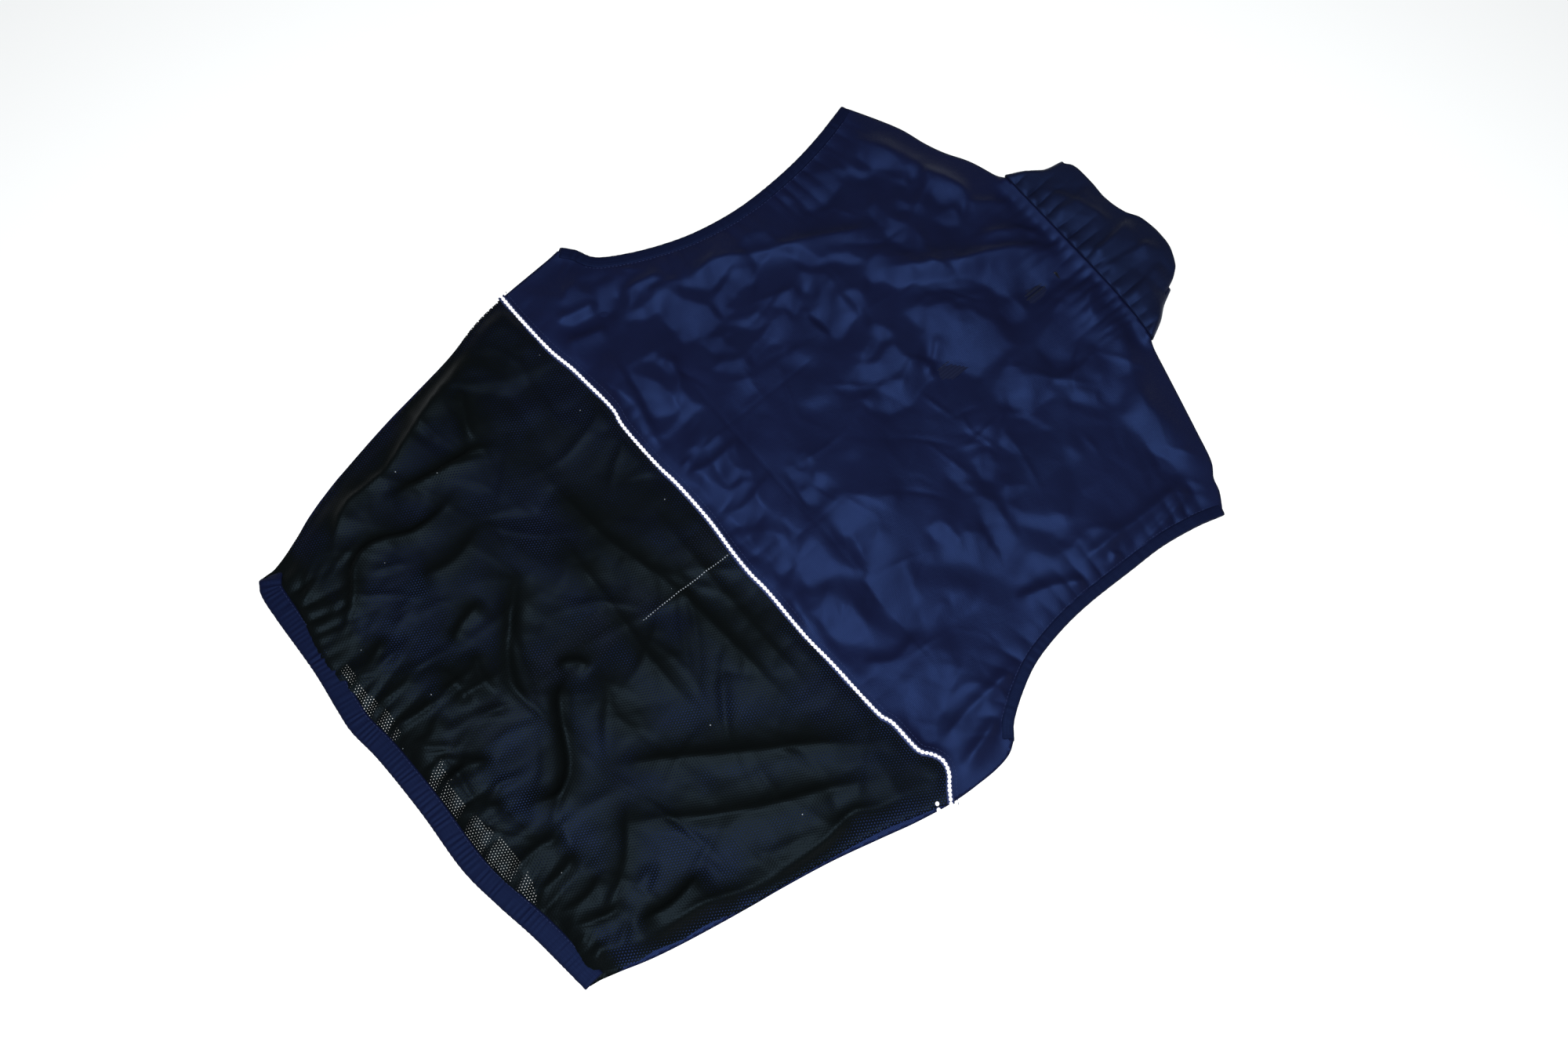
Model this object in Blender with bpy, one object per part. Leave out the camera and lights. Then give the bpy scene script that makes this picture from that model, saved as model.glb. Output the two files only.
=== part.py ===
"""Sleeveless cycling wind vest, lying flat on its front with the back up.

Frame: metres, +Z up, +Y from the hem to the collar, +X to the wearer's right.
The origin is the centre of the vest's outline on the surface that it lies on.
Sizes below are in millimetres and are turned into metres when a mesh is made.
"""

import math

import bmesh
import bpy
from mathutils import Vector
from mathutils.geometry import delaunay_2d_cdt

MM = 0.001

# Driving dimensions of the vest, laid flat.
TOTAL_LENGTH = 722.0  # back hem edge to collar top
CHEST_WIDTH = 528.0  # underarm to underarm
HEM_WIDTH = 384.0  # along the relaxed elastic hem
SHOULDER_WIDTH = 444.0  # shoulder tip to shoulder tip
NECK_WIDTH = 168.0  # between the neck points
COLLAR_HEIGHT = 60.0
COLLAR_TOP_WIDTH = 124.0
COLLAR_BOW = 8.0  # the collar's edge is this much lower at its corners than at its middle
SHOULDER_DROP = 58.0  # neck point down to shoulder tip
ARMHOLE_DEPTH = 245.0  # shoulder tip down to underarm
PIPING_DROP = 58.0  # underarm down to the piped seam
FRONT_NECK_DROP = 68.0  # back neck down to the front neck
FRONT_HEM_RISE = 38.0  # how much shorter the front is at the zip
BACK_HEM_SAG = 16.0  # the back hem is this much longer at its middle than at its corners
HEM_BAND = 20.0
ARMHOLE_BAND = 9.0

LOFT = 11.0  # air between the front and the back, where the wearer goes

# Cloth layers.
CLOTH = 0.5  # thickness of one cloth layer
CLEAR = 0.3  # gap between neighbouring pieces
BAND_WALL = 0.5
BAND_THICKNESS = 2.8  # a folded band with its elastic inside
ELASTIC_THICKNESS = 0.8
COLLAR_LAYER_OFFSET = CLOTH + 2 * CLEAR  # from the collar's middle to each of its two layers
HEM_TUCK = 4.0  # how far a panel reaches into the hem band
ARMHOLE_TUCK = 2.8
NECK_TUCK = 4.0
SEAM_INSET = 1.0  # panel edges stop this far inside the nominal outline

# Armhole curve: its two control points, from the shoulder tip and from the underarm
UNDERARM_INSET = 2.0  # the underarm corner lies this far inside half the chest width
TIP_LEAN = 19.0  # the curve leaves the shoulder tip leaning this far in
TIP_SHARE = 0.376  # over this share of the armhole's depth
PIT_SCOOP = 57.0  # and it is scooped this far in above the underarm
PIT_SHARE = 0.114
ARMHOLE_LENGTH_RATIO = 1.15  # the curve's length over its depth

# Zip, measured from its own middle plane.
COIL_WIDTH = 2.0
COIL_THICKNESS = 1.6
COIL_SPLIT = 1.2  # gap between the two coils, where the slider's divider runs
TAPE_WIDTH = 12.1
TAPE_INNER = COIL_SPLIT / 2 + COIL_WIDTH + CLEAR
TAPE_OUTER = TAPE_INNER + TAPE_WIDTH
SLIDER_LENGTH = 10.0
SLIDER_HALF_WIDTH = 4.5
WING = 0.9
STOP_LENGTH = 2.4
PIN_LENGTH = 13.0
BOX_LENGTH = 7.0
BAIL_BAR = 0.7
BAIL_ROOM = 1.5  # height of the space inside the slider's bail
PULL_LENGTH = 22.0
PULL_HALF_WIDTH = 2.6
PULL_THICKNESS = 0.8
STOP_GRIP = 1.4  # a top stop reaches this far over its tape
STOP_RISE = 0.1  # and stands this far above its coil on each face
PIN_INNER = 0.9  # the pins' edges, from the zip's middle
PIN_OUTER = 1.9
PIN_THICKNESS = 1.2
ZIP_INSET = 1.0  # the zip starts this far inside the front hem edge
COLLAR_CLEARANCE = 2.0  # and ends this far below the collar's edge
DIVIDER_LENGTH = 3.0
FLANGE_WALL = 0.9  # the slider's side flanges
WELD = 0.4  # joined blocks of the slider reach this far into each other
BAIL_HALF_WIDTH = 0.7
BAIL_INNER = 1.7  # the bail's posts, along the zip from the hinge axis
BAIL_OUTER = 2.7
EYE_BAR = 0.5  # half the width of the tab's bar that lies in the bail
EYE_HALF_WIDTH = 1.1
EYE_END = 4.0
GRIP_HALF_WIDTH = 1.3
GRIP_START = 2.0  # the grip's slot, from the tab's free end
GRIP_END = 9.0
CUT_PAST = 1.0  # a cutter runs this far past what it cuts

# Heights above the surface that the vest lies on.
FRONT_LEVEL = BAND_THICKNESS / 2
ZIP_LEVEL = CLEAR + BAIL_BAR + BAIL_ROOM + WING + CLEAR + COIL_THICKNESS / 2
SLIDER_TOP = ZIP_LEVEL + COIL_THICKNESS / 2 + CLEAR + WING
BACK_LEVEL = max(FRONT_LEVEL + LOFT, SLIDER_TOP + 2 * CLEAR + CLOTH / 2)
SEAM_LEVEL = FRONT_LEVEL + CLOTH + CLEAR
CORNER_LEVEL = FRONT_LEVEL + BAND_THICKNESS + CLEAR
TURN_RADIUS = (CORNER_LEVEL - FRONT_LEVEL) / 2
SEAM_REACH = 70.0  # how far in from a seam the back rises to its full level
CORNER_FLAT = HEM_BAND + 6.0  # the back stays at its corner level this far from a corner
CORNER_REACH = 40.0
RIDGE_FLAT = TAPE_OUTER + 1.0
RIDGE_FOOT = 60.0

# Piping between the two back panels.
CORD_RADIUS = 1.65
FLANGE_WIDTH = 8.0
CORD_RISE = 0.2  # the cord's middle stands this far above the yoke cloth's middle
FLANGE_TOP = -CLOTH / 2 - CLEAR
FLANGE_THICKNESS = 0.3
CORD_SIDES = 10
MESH_BELOW_YOKE = CORD_RADIUS - CORD_RISE + 2 * CLEAR + CLOTH / 2  # the mesh runs under the cord
YOKE_FLAT = FLANGE_WIDTH + 4.0
YOKE_FALL_LENGTH = 45.0

# Heights along Y, from the driving dimensions.
Y_TOP = TOTAL_LENGTH / 2
Y_NECK = Y_TOP - COLLAR_HEIGHT
Y_SHOULDER = Y_NECK - SHOULDER_DROP
Y_UNDERARM = Y_SHOULDER - ARMHOLE_DEPTH
Y_PIPING = Y_UNDERARM - PIPING_DROP
Y_HEM = -TOTAL_LENGTH / 2
Y_CORNER = Y_HEM + BACK_HEM_SAG
Y_FRONT_NECK = Y_NECK - FRONT_NECK_DROP
Y_FRONT_HEM = Y_HEM + FRONT_HEM_RISE
Y_FRONT_TOP = Y_FRONT_NECK + COLLAR_HEIGHT
Y_PIT_CORNER = Y_UNDERARM - ARMHOLE_BAND - 6.0  # below this a panel reaches the side seam

GRID = 24.0  # spacing of the points inside a panel
STEP = 18.0  # spacing of the points along a long edge
TURN_STEPS = 5

# Colours of the cloths and fittings: linear base colour, metallic, roughness.
FINISHES = {
    "navy_taffeta": ((0.012, 0.020, 0.085), 0.0, 0.42),
    "black_mesh": ((0.006, 0.008, 0.011), 0.0, 0.75),
    "reflective_cord": ((0.90, 0.88, 0.95), 0.0, 0.35),
    "elastic": ((0.55, 0.55, 0.55), 0.0, 0.80),
    "zip_tape": ((0.010, 0.016, 0.060), 0.0, 0.70),
    "zip_coil": ((0.012, 0.018, 0.070), 0.0, 0.35),
    "zip_metal": ((0.020, 0.028, 0.080), 0.4, 0.35),
}


# ---------------------------------------------------------------- helpers


def smooth(t):
    """Eases from 0 to 1 as t goes from 0 to 1."""
    t = min(1.0, max(0.0, t))
    return t * t * (3 - 2 * t)


def bezier(p0, p1, p2, p3, steps):
    """Points along a cubic curve, both ends included."""
    points = []
    for i in range(steps + 1):
        t = i / steps
        a, b, c, d = (1 - t) ** 3, 3 * (1 - t) ** 2 * t, 3 * (1 - t) * t * t, t**3
        points.append(Vector(p0) * a + Vector(p1) * b + Vector(p2) * c + Vector(p3) * d)
    return points


def steps_for(length):
    return max(2, round(length / STEP))


def normals_of(path, side):
    """Unit vectors square to a plan path, turned to its left (side 1) or right (side -1)."""
    found = []
    for i in range(len(path)):
        along = path[min(i + 1, len(path) - 1)] - path[max(i - 1, 0)]
        found.append(Vector((-along.y, along.x)).normalized() * side)
    return found


def distance_to(point, path):
    """Plan distance from a point to a polyline."""
    best = math.inf
    for a, b in zip(path, path[1:]):
        along = b - a
        t = min(1.0, max(0.0, (point - a).dot(along) / along.length_squared))
        best = min(best, (point - a - along * t).length)
    return best


def mirrored(path):
    return [Vector((-p.x, p.y)) for p in path]


def material(slot):
    found = bpy.data.materials.get(slot)
    if found is None:
        colour, metallic, roughness = FINISHES[slot]
        found = bpy.data.materials.new(slot)
        found.use_nodes = True
        shader = found.node_tree.nodes["Principled BSDF"]
        shader.inputs["Base Color"].default_value = (*colour, 1)
        shader.inputs["Metallic"].default_value = metallic
        shader.inputs["Roughness"].default_value = roughness
    return found


def add_object(name, mesh, slot, smooth_angle=40):
    mesh.materials.append(material(slot))
    mesh.shade_smooth()
    mesh.set_sharp_from_angle(angle=math.radians(smooth_angle))
    made = bpy.data.objects.new(name, mesh)
    bpy.context.scene.collection.objects.link(made)
    return made


def mesh_from(name, points, faces):
    """A mesh in metres from points in millimetres, with its faces turned outwards."""
    mesh = bpy.data.meshes.new(name)
    mesh.from_pydata([Vector(p) * MM for p in points], [], faces)
    shell = bmesh.new()
    shell.from_mesh(mesh)
    bmesh.ops.remove_doubles(shell, verts=shell.verts, dist=1e-6)
    bmesh.ops.recalc_face_normals(shell, faces=shell.faces)
    shell.to_mesh(mesh)
    shell.free()
    return mesh


def cloth(name, points, faces, slot):
    """A thin sheet: a surface thickened evenly to both sides."""
    made = add_object(name, mesh_from(name, points, faces), slot)
    thicken = made.modifiers.new("Thickness", "SOLIDIFY")
    thicken.thickness = CLOTH * MM
    thicken.offset = 0.0
    return made


def panel(name, outline, height, slot, creases=()):
    """A flat-cut cloth panel with this plan outline, laid at the given height.

    The creases are more plan points that its surface has to pass through.
    """
    corners = [Vector(p) for p in outline]
    low = Vector((min(p.x for p in corners), min(p.y for p in corners)))
    high = Vector((max(p.x for p in corners), max(p.y for p in corners)))
    closed = corners + corners[:1]
    points = corners + list(creases)
    columns, rows = (round((high[k] - low[k]) / GRID) for k in (0, 1))
    for i in range(1, columns):
        for j in range(1, rows):
            share = Vector((i / columns, j / rows))
            inner = Vector((low.x + (high.x - low.x) * share.x, low.y + (high.y - low.y) * share.y))
            if inside(inner, closed) and distance_to(inner, closed) > GRID * 0.45:
                points.append(inner)
    ring = [list(range(len(corners)))]
    flat, _, faces, *_ = delaunay_2d_cdt(points, [], ring, 1, 1e-4)
    return cloth(name, [(p.x, p.y, height(p.x, p.y)) for p in flat], faces, slot)


def inside(point, closed):
    """True if a plan point lies within a closed polyline."""
    crossings = 0
    for a, b in zip(closed, closed[1:]):
        if (a.y > point.y) != (b.y > point.y):
            crossings += point.x < a.x + (point.y - a.y) * (b.x - a.x) / (b.y - a.y)
    return crossings % 2 == 1


def sweep(name, frames, section, slot, closed=False):
    """A section polygon carried along frames of (origin, inward, outside)."""
    points = [o + n * u + out * h for o, n, out in frames for u, h in section]
    count, faces = len(section), []
    for i in range(len(frames) if closed else len(frames) - 1):
        j = (i + 1) % len(frames)
        for k in range(count):
            m = (k + 1) % count
            faces.append((i * count + k, i * count + m, j * count + m, j * count + k))
    if not closed:
        faces.append(tuple(range(count)))
        faces.append(tuple((len(frames) - 1) * count + k for k in range(count)))
    return add_object(name, mesh_from(name, points, faces), slot)


def turn(corner, inward, outward, low, high, rising):
    """Frames round a fold, from the front layer up to the back one or back down."""
    middle, radius = (low + high) / 2, (high - low) / 2
    angles = [math.radians(-90 + 180 * i / TURN_STEPS) for i in range(TURN_STEPS + 1)]
    frames = []
    for angle in angles if rising else reversed(angles):
        out = Vector((*(outward * math.cos(angle)), math.sin(angle)))
        centre = Vector((corner.x, corner.y, middle))
        frames.append((centre + out * radius, Vector((*inward, 0)), out))
    return frames


def block(name, x, y, z, slot=None):
    """A box from its spans in millimetres. Without a slot it is a hidden helper."""
    made = bpy.data.meshes.new(name)
    shell = bmesh.new()
    bmesh.ops.create_cube(shell, size=1.0)
    for v in shell.verts:
        v.co = Vector([low + (high - low) * (c + 0.5) for c, (low, high) in zip(v.co, (x, y, z))]) * MM
    shell.to_mesh(made)
    shell.free()
    if slot:
        return add_object(name, made, slot)
    helper = bpy.data.objects.new(name, made)
    bpy.context.scene.collection.objects.link(helper)
    helper.hide_render = True
    helper.display_type = "WIRE"
    return helper


def combine(target, helper, operation):
    modifier = target.modifiers.new(helper.name, "BOOLEAN")
    modifier.operation = operation
    modifier.object = helper


def band_section(width):
    """A folded band, open on its inner edge, as (inward, thickness) points."""
    half, wall = BAND_THICKNESS / 2, BAND_WALL
    room = half - wall
    return [
        (0, -half),
        (width, -half),
        (width, -room),
        (wall, -room),
        (wall, room),
        (width, room),
        (width, half),
        (0, half),
    ]


def strip_section(start, end):
    half = ELASTIC_THICKNESS / 2
    return [(start, -half), (end, -half), (end, half), (start, half)]


# ---------------------------------------------------------------- outline


def armhole_path():
    """The right armhole's edge from the underarm up to the shoulder tip."""
    tip = (SHOULDER_WIDTH / 2, Y_SHOULDER)
    pit = (CHEST_WIDTH / 2 - UNDERARM_INSET, Y_UNDERARM)
    down = (tip[0] - TIP_LEAN, tip[1] - TIP_SHARE * ARMHOLE_DEPTH)
    across = (pit[0] - PIT_SCOOP, pit[1] + PIT_SHARE * ARMHOLE_DEPTH)
    return bezier(pit, across, down, tip, steps_for(ARMHOLE_DEPTH * ARMHOLE_LENGTH_RATIO))


def side_path():
    """The right side seam from the hem corner up to the underarm."""
    start, end = Y_CORNER, Y_UNDERARM
    count = steps_for(end - start)
    points = []
    for i in range(count + 1):
        t = i / count
        spread = math.sin(t * math.pi / 2) ** 1.1
        half = HEM_WIDTH / 2 + (CHEST_WIDTH - HEM_WIDTH) / 2 * spread
        points.append(Vector((half, start + (end - start) * t)))
    return points


def shoulder_path():
    """The right shoulder seam from the tip in to the neck point."""
    tip = Vector((SHOULDER_WIDTH / 2, Y_SHOULDER))
    neck = Vector((NECK_WIDTH / 2, Y_NECK))
    count = steps_for((tip - neck).length)
    return [tip.lerp(neck, i / count) for i in range(count + 1)]


def back_hem(x):
    return Y_HEM + BACK_HEM_SAG * (2 * x / HEM_WIDTH) ** 2


def front_hem(x):
    return Y_FRONT_HEM - (Y_FRONT_HEM - Y_CORNER) * abs(2 * x / HEM_WIDTH) ** 4


def front_neck(x):
    """The front neck seam, from the zip up to the neck point."""
    return Y_FRONT_NECK + FRONT_NECK_DROP * smooth(abs(2 * x / NECK_WIDTH)) ** 1.2


ARMHOLE = armhole_path()
SIDE = side_path()
SHOULDER = shoulder_path()
SEAMS = [SIDE, SHOULDER, mirrored(SIDE), mirrored(SHOULDER)]
CORNERS = [SIDE[0], SIDE[-1], SHOULDER[0], SHOULDER[-1]]
CORNERS += mirrored(CORNERS)


# ---------------------------------------------------------------- heights


def ridge(x):
    """1 over the zip tapes, falling to 0 where the front lies on the floor again."""
    return 1 - smooth((abs(x) - RIDGE_FLAT) / (RIDGE_FOOT - RIDGE_FLAT))


def front_height(x, _y):
    return FRONT_LEVEL + (ZIP_LEVEL - FRONT_LEVEL) * ridge(x)


def back_height(x, y):
    """The back lies on the seams at its edges and stands clear of the front at its middle."""
    point = Vector((x, y))
    corner = min((point - c).length for c in CORNERS)
    edge = CORNER_LEVEL - (CORNER_LEVEL - SEAM_LEVEL) * smooth((corner - CORNER_FLAT) / CORNER_REACH)
    rise = smooth(min(distance_to(point, seam) for seam in SEAMS) / SEAM_REACH)
    return edge + (BACK_LEVEL - edge) * rise


def band_height(edge):
    """A back band lies at the height of the panel edge that it holds, but clear of the front band."""
    return max(back_height(edge.x, edge.y), CORNER_LEVEL)


def yoke_height(x, y):
    """The navy back stands above the mesh where the two overlap at the piped seam."""
    fall = smooth((y - Y_PIPING - YOKE_FLAT) / YOKE_FALL_LENGTH)
    return back_height(x, max(y, Y_PIPING)) + MESH_BELOW_YOKE * (1 - fall)


# ---------------------------------------------------------------- cloth panels


def inset(path, distance, side):
    return [p + n * distance for p, n in zip(path, normals_of(path, side))]


ARMHOLE_EDGE = inset(ARMHOLE, ARMHOLE_BAND - ARMHOLE_TUCK, 1)
SIDE_EDGE = inset(SIDE, SEAM_INSET, 1)
SHOULDER_EDGE = inset(SHOULDER, SEAM_INSET, 1)


def corner_point(first, second):
    """Where two neighbouring inset edges meet, between their ends."""
    return (first[-1] + second[0]) / 2


def side_between(low, high):
    return [p for p in SIDE_EDGE if low + 3 < p.y < high - 3]


def half_width_at(y):
    """Half the panels' width at a height between the hem corner and the underarm."""
    for a, b in zip(SIDE_EDGE, SIDE_EDGE[1:]):
        if a.y <= y <= b.y:
            return a.x + (b.x - a.x) * (y - a.y) / (b.y - a.y)
    return SIDE_EDGE[0 if y < SIDE_EDGE[0].y else -1].x


def upper_outline():
    """From the underarm round the armhole and along the shoulder to the neck."""
    inward = normals_of(ARMHOLE, 1)[0]
    along = (ARMHOLE[1] - ARMHOLE[0]).normalized() * CLEAR
    pit = Vector((half_width_at(Y_PIT_CORNER), Y_PIT_CORNER))
    below = ARMHOLE[0] + inward * (ARMHOLE_BAND + 2 * CLEAR) + along
    tip = Vector((ARMHOLE_EDGE[-1].x, SHOULDER_EDGE[0].y + 1))
    shoulder = [p for p in SHOULDER_EDGE if p.x < tip.x - 2]
    return [pit, below, ARMHOLE_EDGE[0] + along] + ARMHOLE_EDGE[1:-1] + [tip] + shoulder


def hem_corner():
    """Where the side edge of a panel goes into the hem band."""
    x = HEM_WIDTH / 2 - CLEAR
    return [Vector((x, Y_CORNER + HEM_BAND - HEM_TUCK)), Vector((x, Y_CORNER + HEM_BAND + CLEAR))]


def row(start, end, height):
    """Points from one x to another along a curve y = height(x), ends left out."""
    count = steps_for(abs(end - start))
    xs = [start + (end - start) * i / count for i in range(1, count)]
    return [Vector((x, height(x))) for x in xs]


def upper_back_panel():
    side = [Vector((half_width_at(Y_PIPING), Y_PIPING))] + side_between(Y_PIPING, Y_PIT_CORNER)
    right = side + upper_outline()
    left = mirrored(reversed(right))
    neck = row(right[-1].x, left[0].x, lambda x: Y_NECK + NECK_TUCK)
    bottom = row(left[-1].x, right[0].x, lambda x: Y_PIPING)
    seam_end = row(left[-1].x + 1, right[0].x - 1, lambda x: Y_PIPING + YOKE_FLAT)
    outline = right + neck + left + bottom
    panel("upper_back_panel", outline, yoke_height, "navy_taffeta", creases=seam_end)


def lower_back_mesh():
    top, tuck = Y_PIPING + FLANGE_WIDTH, HEM_BAND - HEM_TUCK
    corner = hem_corner()
    last = Vector((half_width_at(top), top))
    right = corner + side_between(corner[1].y, top) + [last]
    left = mirrored(reversed(right))
    upper = row(last.x, -last.x, lambda x: top)
    lower = row(-corner[0].x, corner[0].x, lambda x: back_hem(x) + tuck)
    panel("lower_back_mesh", right + upper + left + lower, back_height, "black_mesh")


def front_panel(name, flip):
    """One front, from the zip tape's edge to the side seam."""
    tuck = HEM_BAND - HEM_TUCK
    corner = hem_corner()
    right = corner + side_between(corner[1].y, Y_PIT_CORNER) + upper_outline()
    edge = TAPE_OUTER + CLEAR
    neck_start = right[-1].x - 1
    neck = row(neck_start, edge, lambda x: front_neck(x) + NECK_TUCK)
    neck = [Vector((neck_start, front_neck(neck_start) + NECK_TUCK - 1))] + neck
    count = steps_for(Y_FRONT_NECK - Y_FRONT_HEM)
    bottom, top = front_hem(edge) + tuck, front_neck(edge) + NECK_TUCK
    zip_edge = [Vector((edge, top + (bottom - top) * i / count)) for i in range(count + 1)]
    lower = row(edge, corner[0].x, lambda x: front_hem(x) + tuck)
    outline = right + neck + zip_edge + lower
    if flip:
        outline = mirrored(outline)
    panel(name, outline, front_height, "navy_taffeta")


# ---------------------------------------------------------------- bands


def armhole_frames():
    """Round one armhole: up the back layer, over the shoulder and down the front layer."""
    inward = normals_of(ARMHOLE, 1)
    start, end = ARMHOLE[0] - ARMHOLE[1], ARMHOLE[-1] - ARMHOLE[-2]
    up = Vector((0, 0, 1))
    back = []
    for p, n, edge in zip(ARMHOLE, inward, ARMHOLE_EDGE):
        back.append((Vector((p.x, p.y, band_height(edge))), Vector((*n, 0)), up))
    front = [(Vector((p.x, p.y, FRONT_LEVEL)), Vector((*n, 0)), -up) for p, n in zip(ARMHOLE, inward)]
    over = turn(ARMHOLE[-1], inward[-1], end.normalized(), FRONT_LEVEL, back[-1][0].z, rising=False)
    under = turn(ARMHOLE[0], inward[0], start.normalized(), FRONT_LEVEL, back[0][0].z, rising=True)
    return back + over[1:-1] + front[::-1] + under[1:-1]


def flipped(frames):
    """The same frames on the other side of the vest."""
    flip = Vector((-1, 1, 1))
    return [tuple(v * flip for v in frame) for frame in frames]


def armholes():
    frames = armhole_frames()
    elastic = strip_section(BAND_WALL + CLEAR, ARMHOLE_BAND - ARMHOLE_TUCK - 2 * CLEAR)
    for side, path in (("right", frames), ("left", flipped(frames))):
        sweep(f"{side}_armhole_binding", path, band_section(ARMHOLE_BAND), "navy_taffeta", closed=True)
        sweep(f"{side}_armhole_elastic", path, elastic, "elastic", closed=True)


def hem_frames(zip_gap):
    """Along the hem from one zip edge round both sides to the other."""
    inward, up = Vector((0, 1, 0)), Vector((0, 0, 1))
    half = HEM_WIDTH / 2
    front = [Vector((zip_gap, front_hem(zip_gap)))] + row(zip_gap, half, front_hem)
    front += [Vector((half, Y_CORNER))]
    right = [(Vector((p.x, p.y, front_height(p.x, p.y))), inward, -up) for p in front]
    backs = row(-half, half, back_hem)
    back = []
    for p in backs:
        edge = p + Vector((0, HEM_BAND - HEM_TUCK))
        back.append((Vector((p.x, p.y, band_height(edge))), inward, up))
    fold = turn(Vector((half, Y_CORNER)), Vector((0, 1)), Vector((1, 0)), FRONT_LEVEL, CORNER_LEVEL, rising=False)
    rising = flipped(fold)[::-1]
    return flipped(right)[:-1] + rising + back + fold + right[::-1][1:]


def hem():
    frames = hem_frames(SLIDER_HALF_WIDTH + 2 * CLEAR)
    sweep("hem_casing", frames, band_section(HEM_BAND), "navy_taffeta")
    elastic = strip_section(BAND_WALL + CLEAR, HEM_BAND - HEM_TUCK - 2 * CLEAR)
    sweep("hem_elastic", frames[1:-1], elastic, "elastic")


def piping():
    """A cord on a flat flange, carried along the seam between the two back panels."""
    half = half_width_at(Y_PIPING)
    count = steps_for(2 * half)
    cord_y = -CLEAR - CORD_RADIUS
    flange_end, bottom = FLANGE_WIDTH - CLEAR, FLANGE_TOP - FLANGE_THICKNESS
    first = math.asin((FLANGE_TOP - CORD_RISE) / CORD_RADIUS)
    last = math.asin((bottom - CORD_RISE) / CORD_RADIUS) + 2 * math.pi
    section = [(flange_end, bottom), (flange_end, FLANGE_TOP)]
    for i in range(CORD_SIDES + 1):
        angle = first + (last - first) * i / CORD_SIDES
        section.append((cord_y + CORD_RADIUS * math.cos(angle), CORD_RISE + CORD_RADIUS * math.sin(angle)))
    frames = []
    for i in range(count + 1):
        x = -half + 2 * half * i / count
        origin = Vector((x, Y_PIPING, yoke_height(x, Y_PIPING)))
        frames.append((origin, Vector((0, 1, 0)), Vector((0, 0, 1))))
    sweep("reflective_piping", frames, section, "reflective_cord")


# ---------------------------------------------------------------- collar


def collar_rows(offset, zip_gap):
    """Bottom and top points of one collar layer, from the left zip edge round the back to the right."""
    half, top_half = NECK_WIDTH / 2, COLLAR_TOP_WIDTH / 2
    foot, head = Vector((half, Y_NECK)), Vector((top_half, Y_TOP - COLLAR_BOW))
    rows = []
    xs = [zip_gap] + [p.x for p in row(zip_gap, half, front_neck)] + [half]
    for x in xs:
        share = (x - zip_gap) / (half - zip_gap)
        base = Vector((x, front_neck(x)))
        tip_y = Y_FRONT_TOP + (head.y - Y_FRONT_TOP) * share**1.6
        tip = Vector((zip_gap + (top_half - zip_gap) * share, tip_y))
        z = front_height(x, base.y) - offset
        rows.append((Vector((*base, z)), Vector((*tip, z))))
    fold_axis = (head - foot).normalized()
    outward = Vector((fold_axis.y, -fold_axis.x))
    fold = []
    for angle in [math.radians(-90 + 180 * i / TURN_STEPS) for i in range(1, TURN_STEPS)]:
        reach = TURN_RADIUS + offset
        side, rise = outward * (reach * math.cos(angle)), reach * math.sin(angle)
        z = FRONT_LEVEL + TURN_RADIUS + rise
        fold.append((Vector((*(foot + side), z)), Vector((*(head + side), z))))
    right = rows + fold
    back = []
    count = steps_for(NECK_WIDTH)
    for i in range(count + 1):
        t = 1 - 2 * i / count
        base = Vector((half * t, Y_NECK))
        tip = Vector((top_half * t, Y_TOP - COLLAR_BOW * t * t))
        z = band_height(base) + offset
        back.append((Vector((*base, z)), Vector((*tip, z))))
    flip = Vector((-1, 1, 1))
    left = [(a * flip, b * flip) for a, b in reversed(right)]
    return right + back + left


def collar_layer(name, offset, slot):
    rows = collar_rows(offset, SLIDER_HALF_WIDTH + 2 * CLEAR)
    levels = 3
    points = [a.lerp(b, k / levels) for a, b in rows for k in range(levels + 1)]
    faces = []
    for i in range(len(rows) - 1):
        for k in range(levels):
            a = i * (levels + 1) + k
            faces.append((a, a + 1, a + levels + 2, a + levels + 1))
    cloth(name, points, faces, slot)


# ---------------------------------------------------------------- zip


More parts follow.
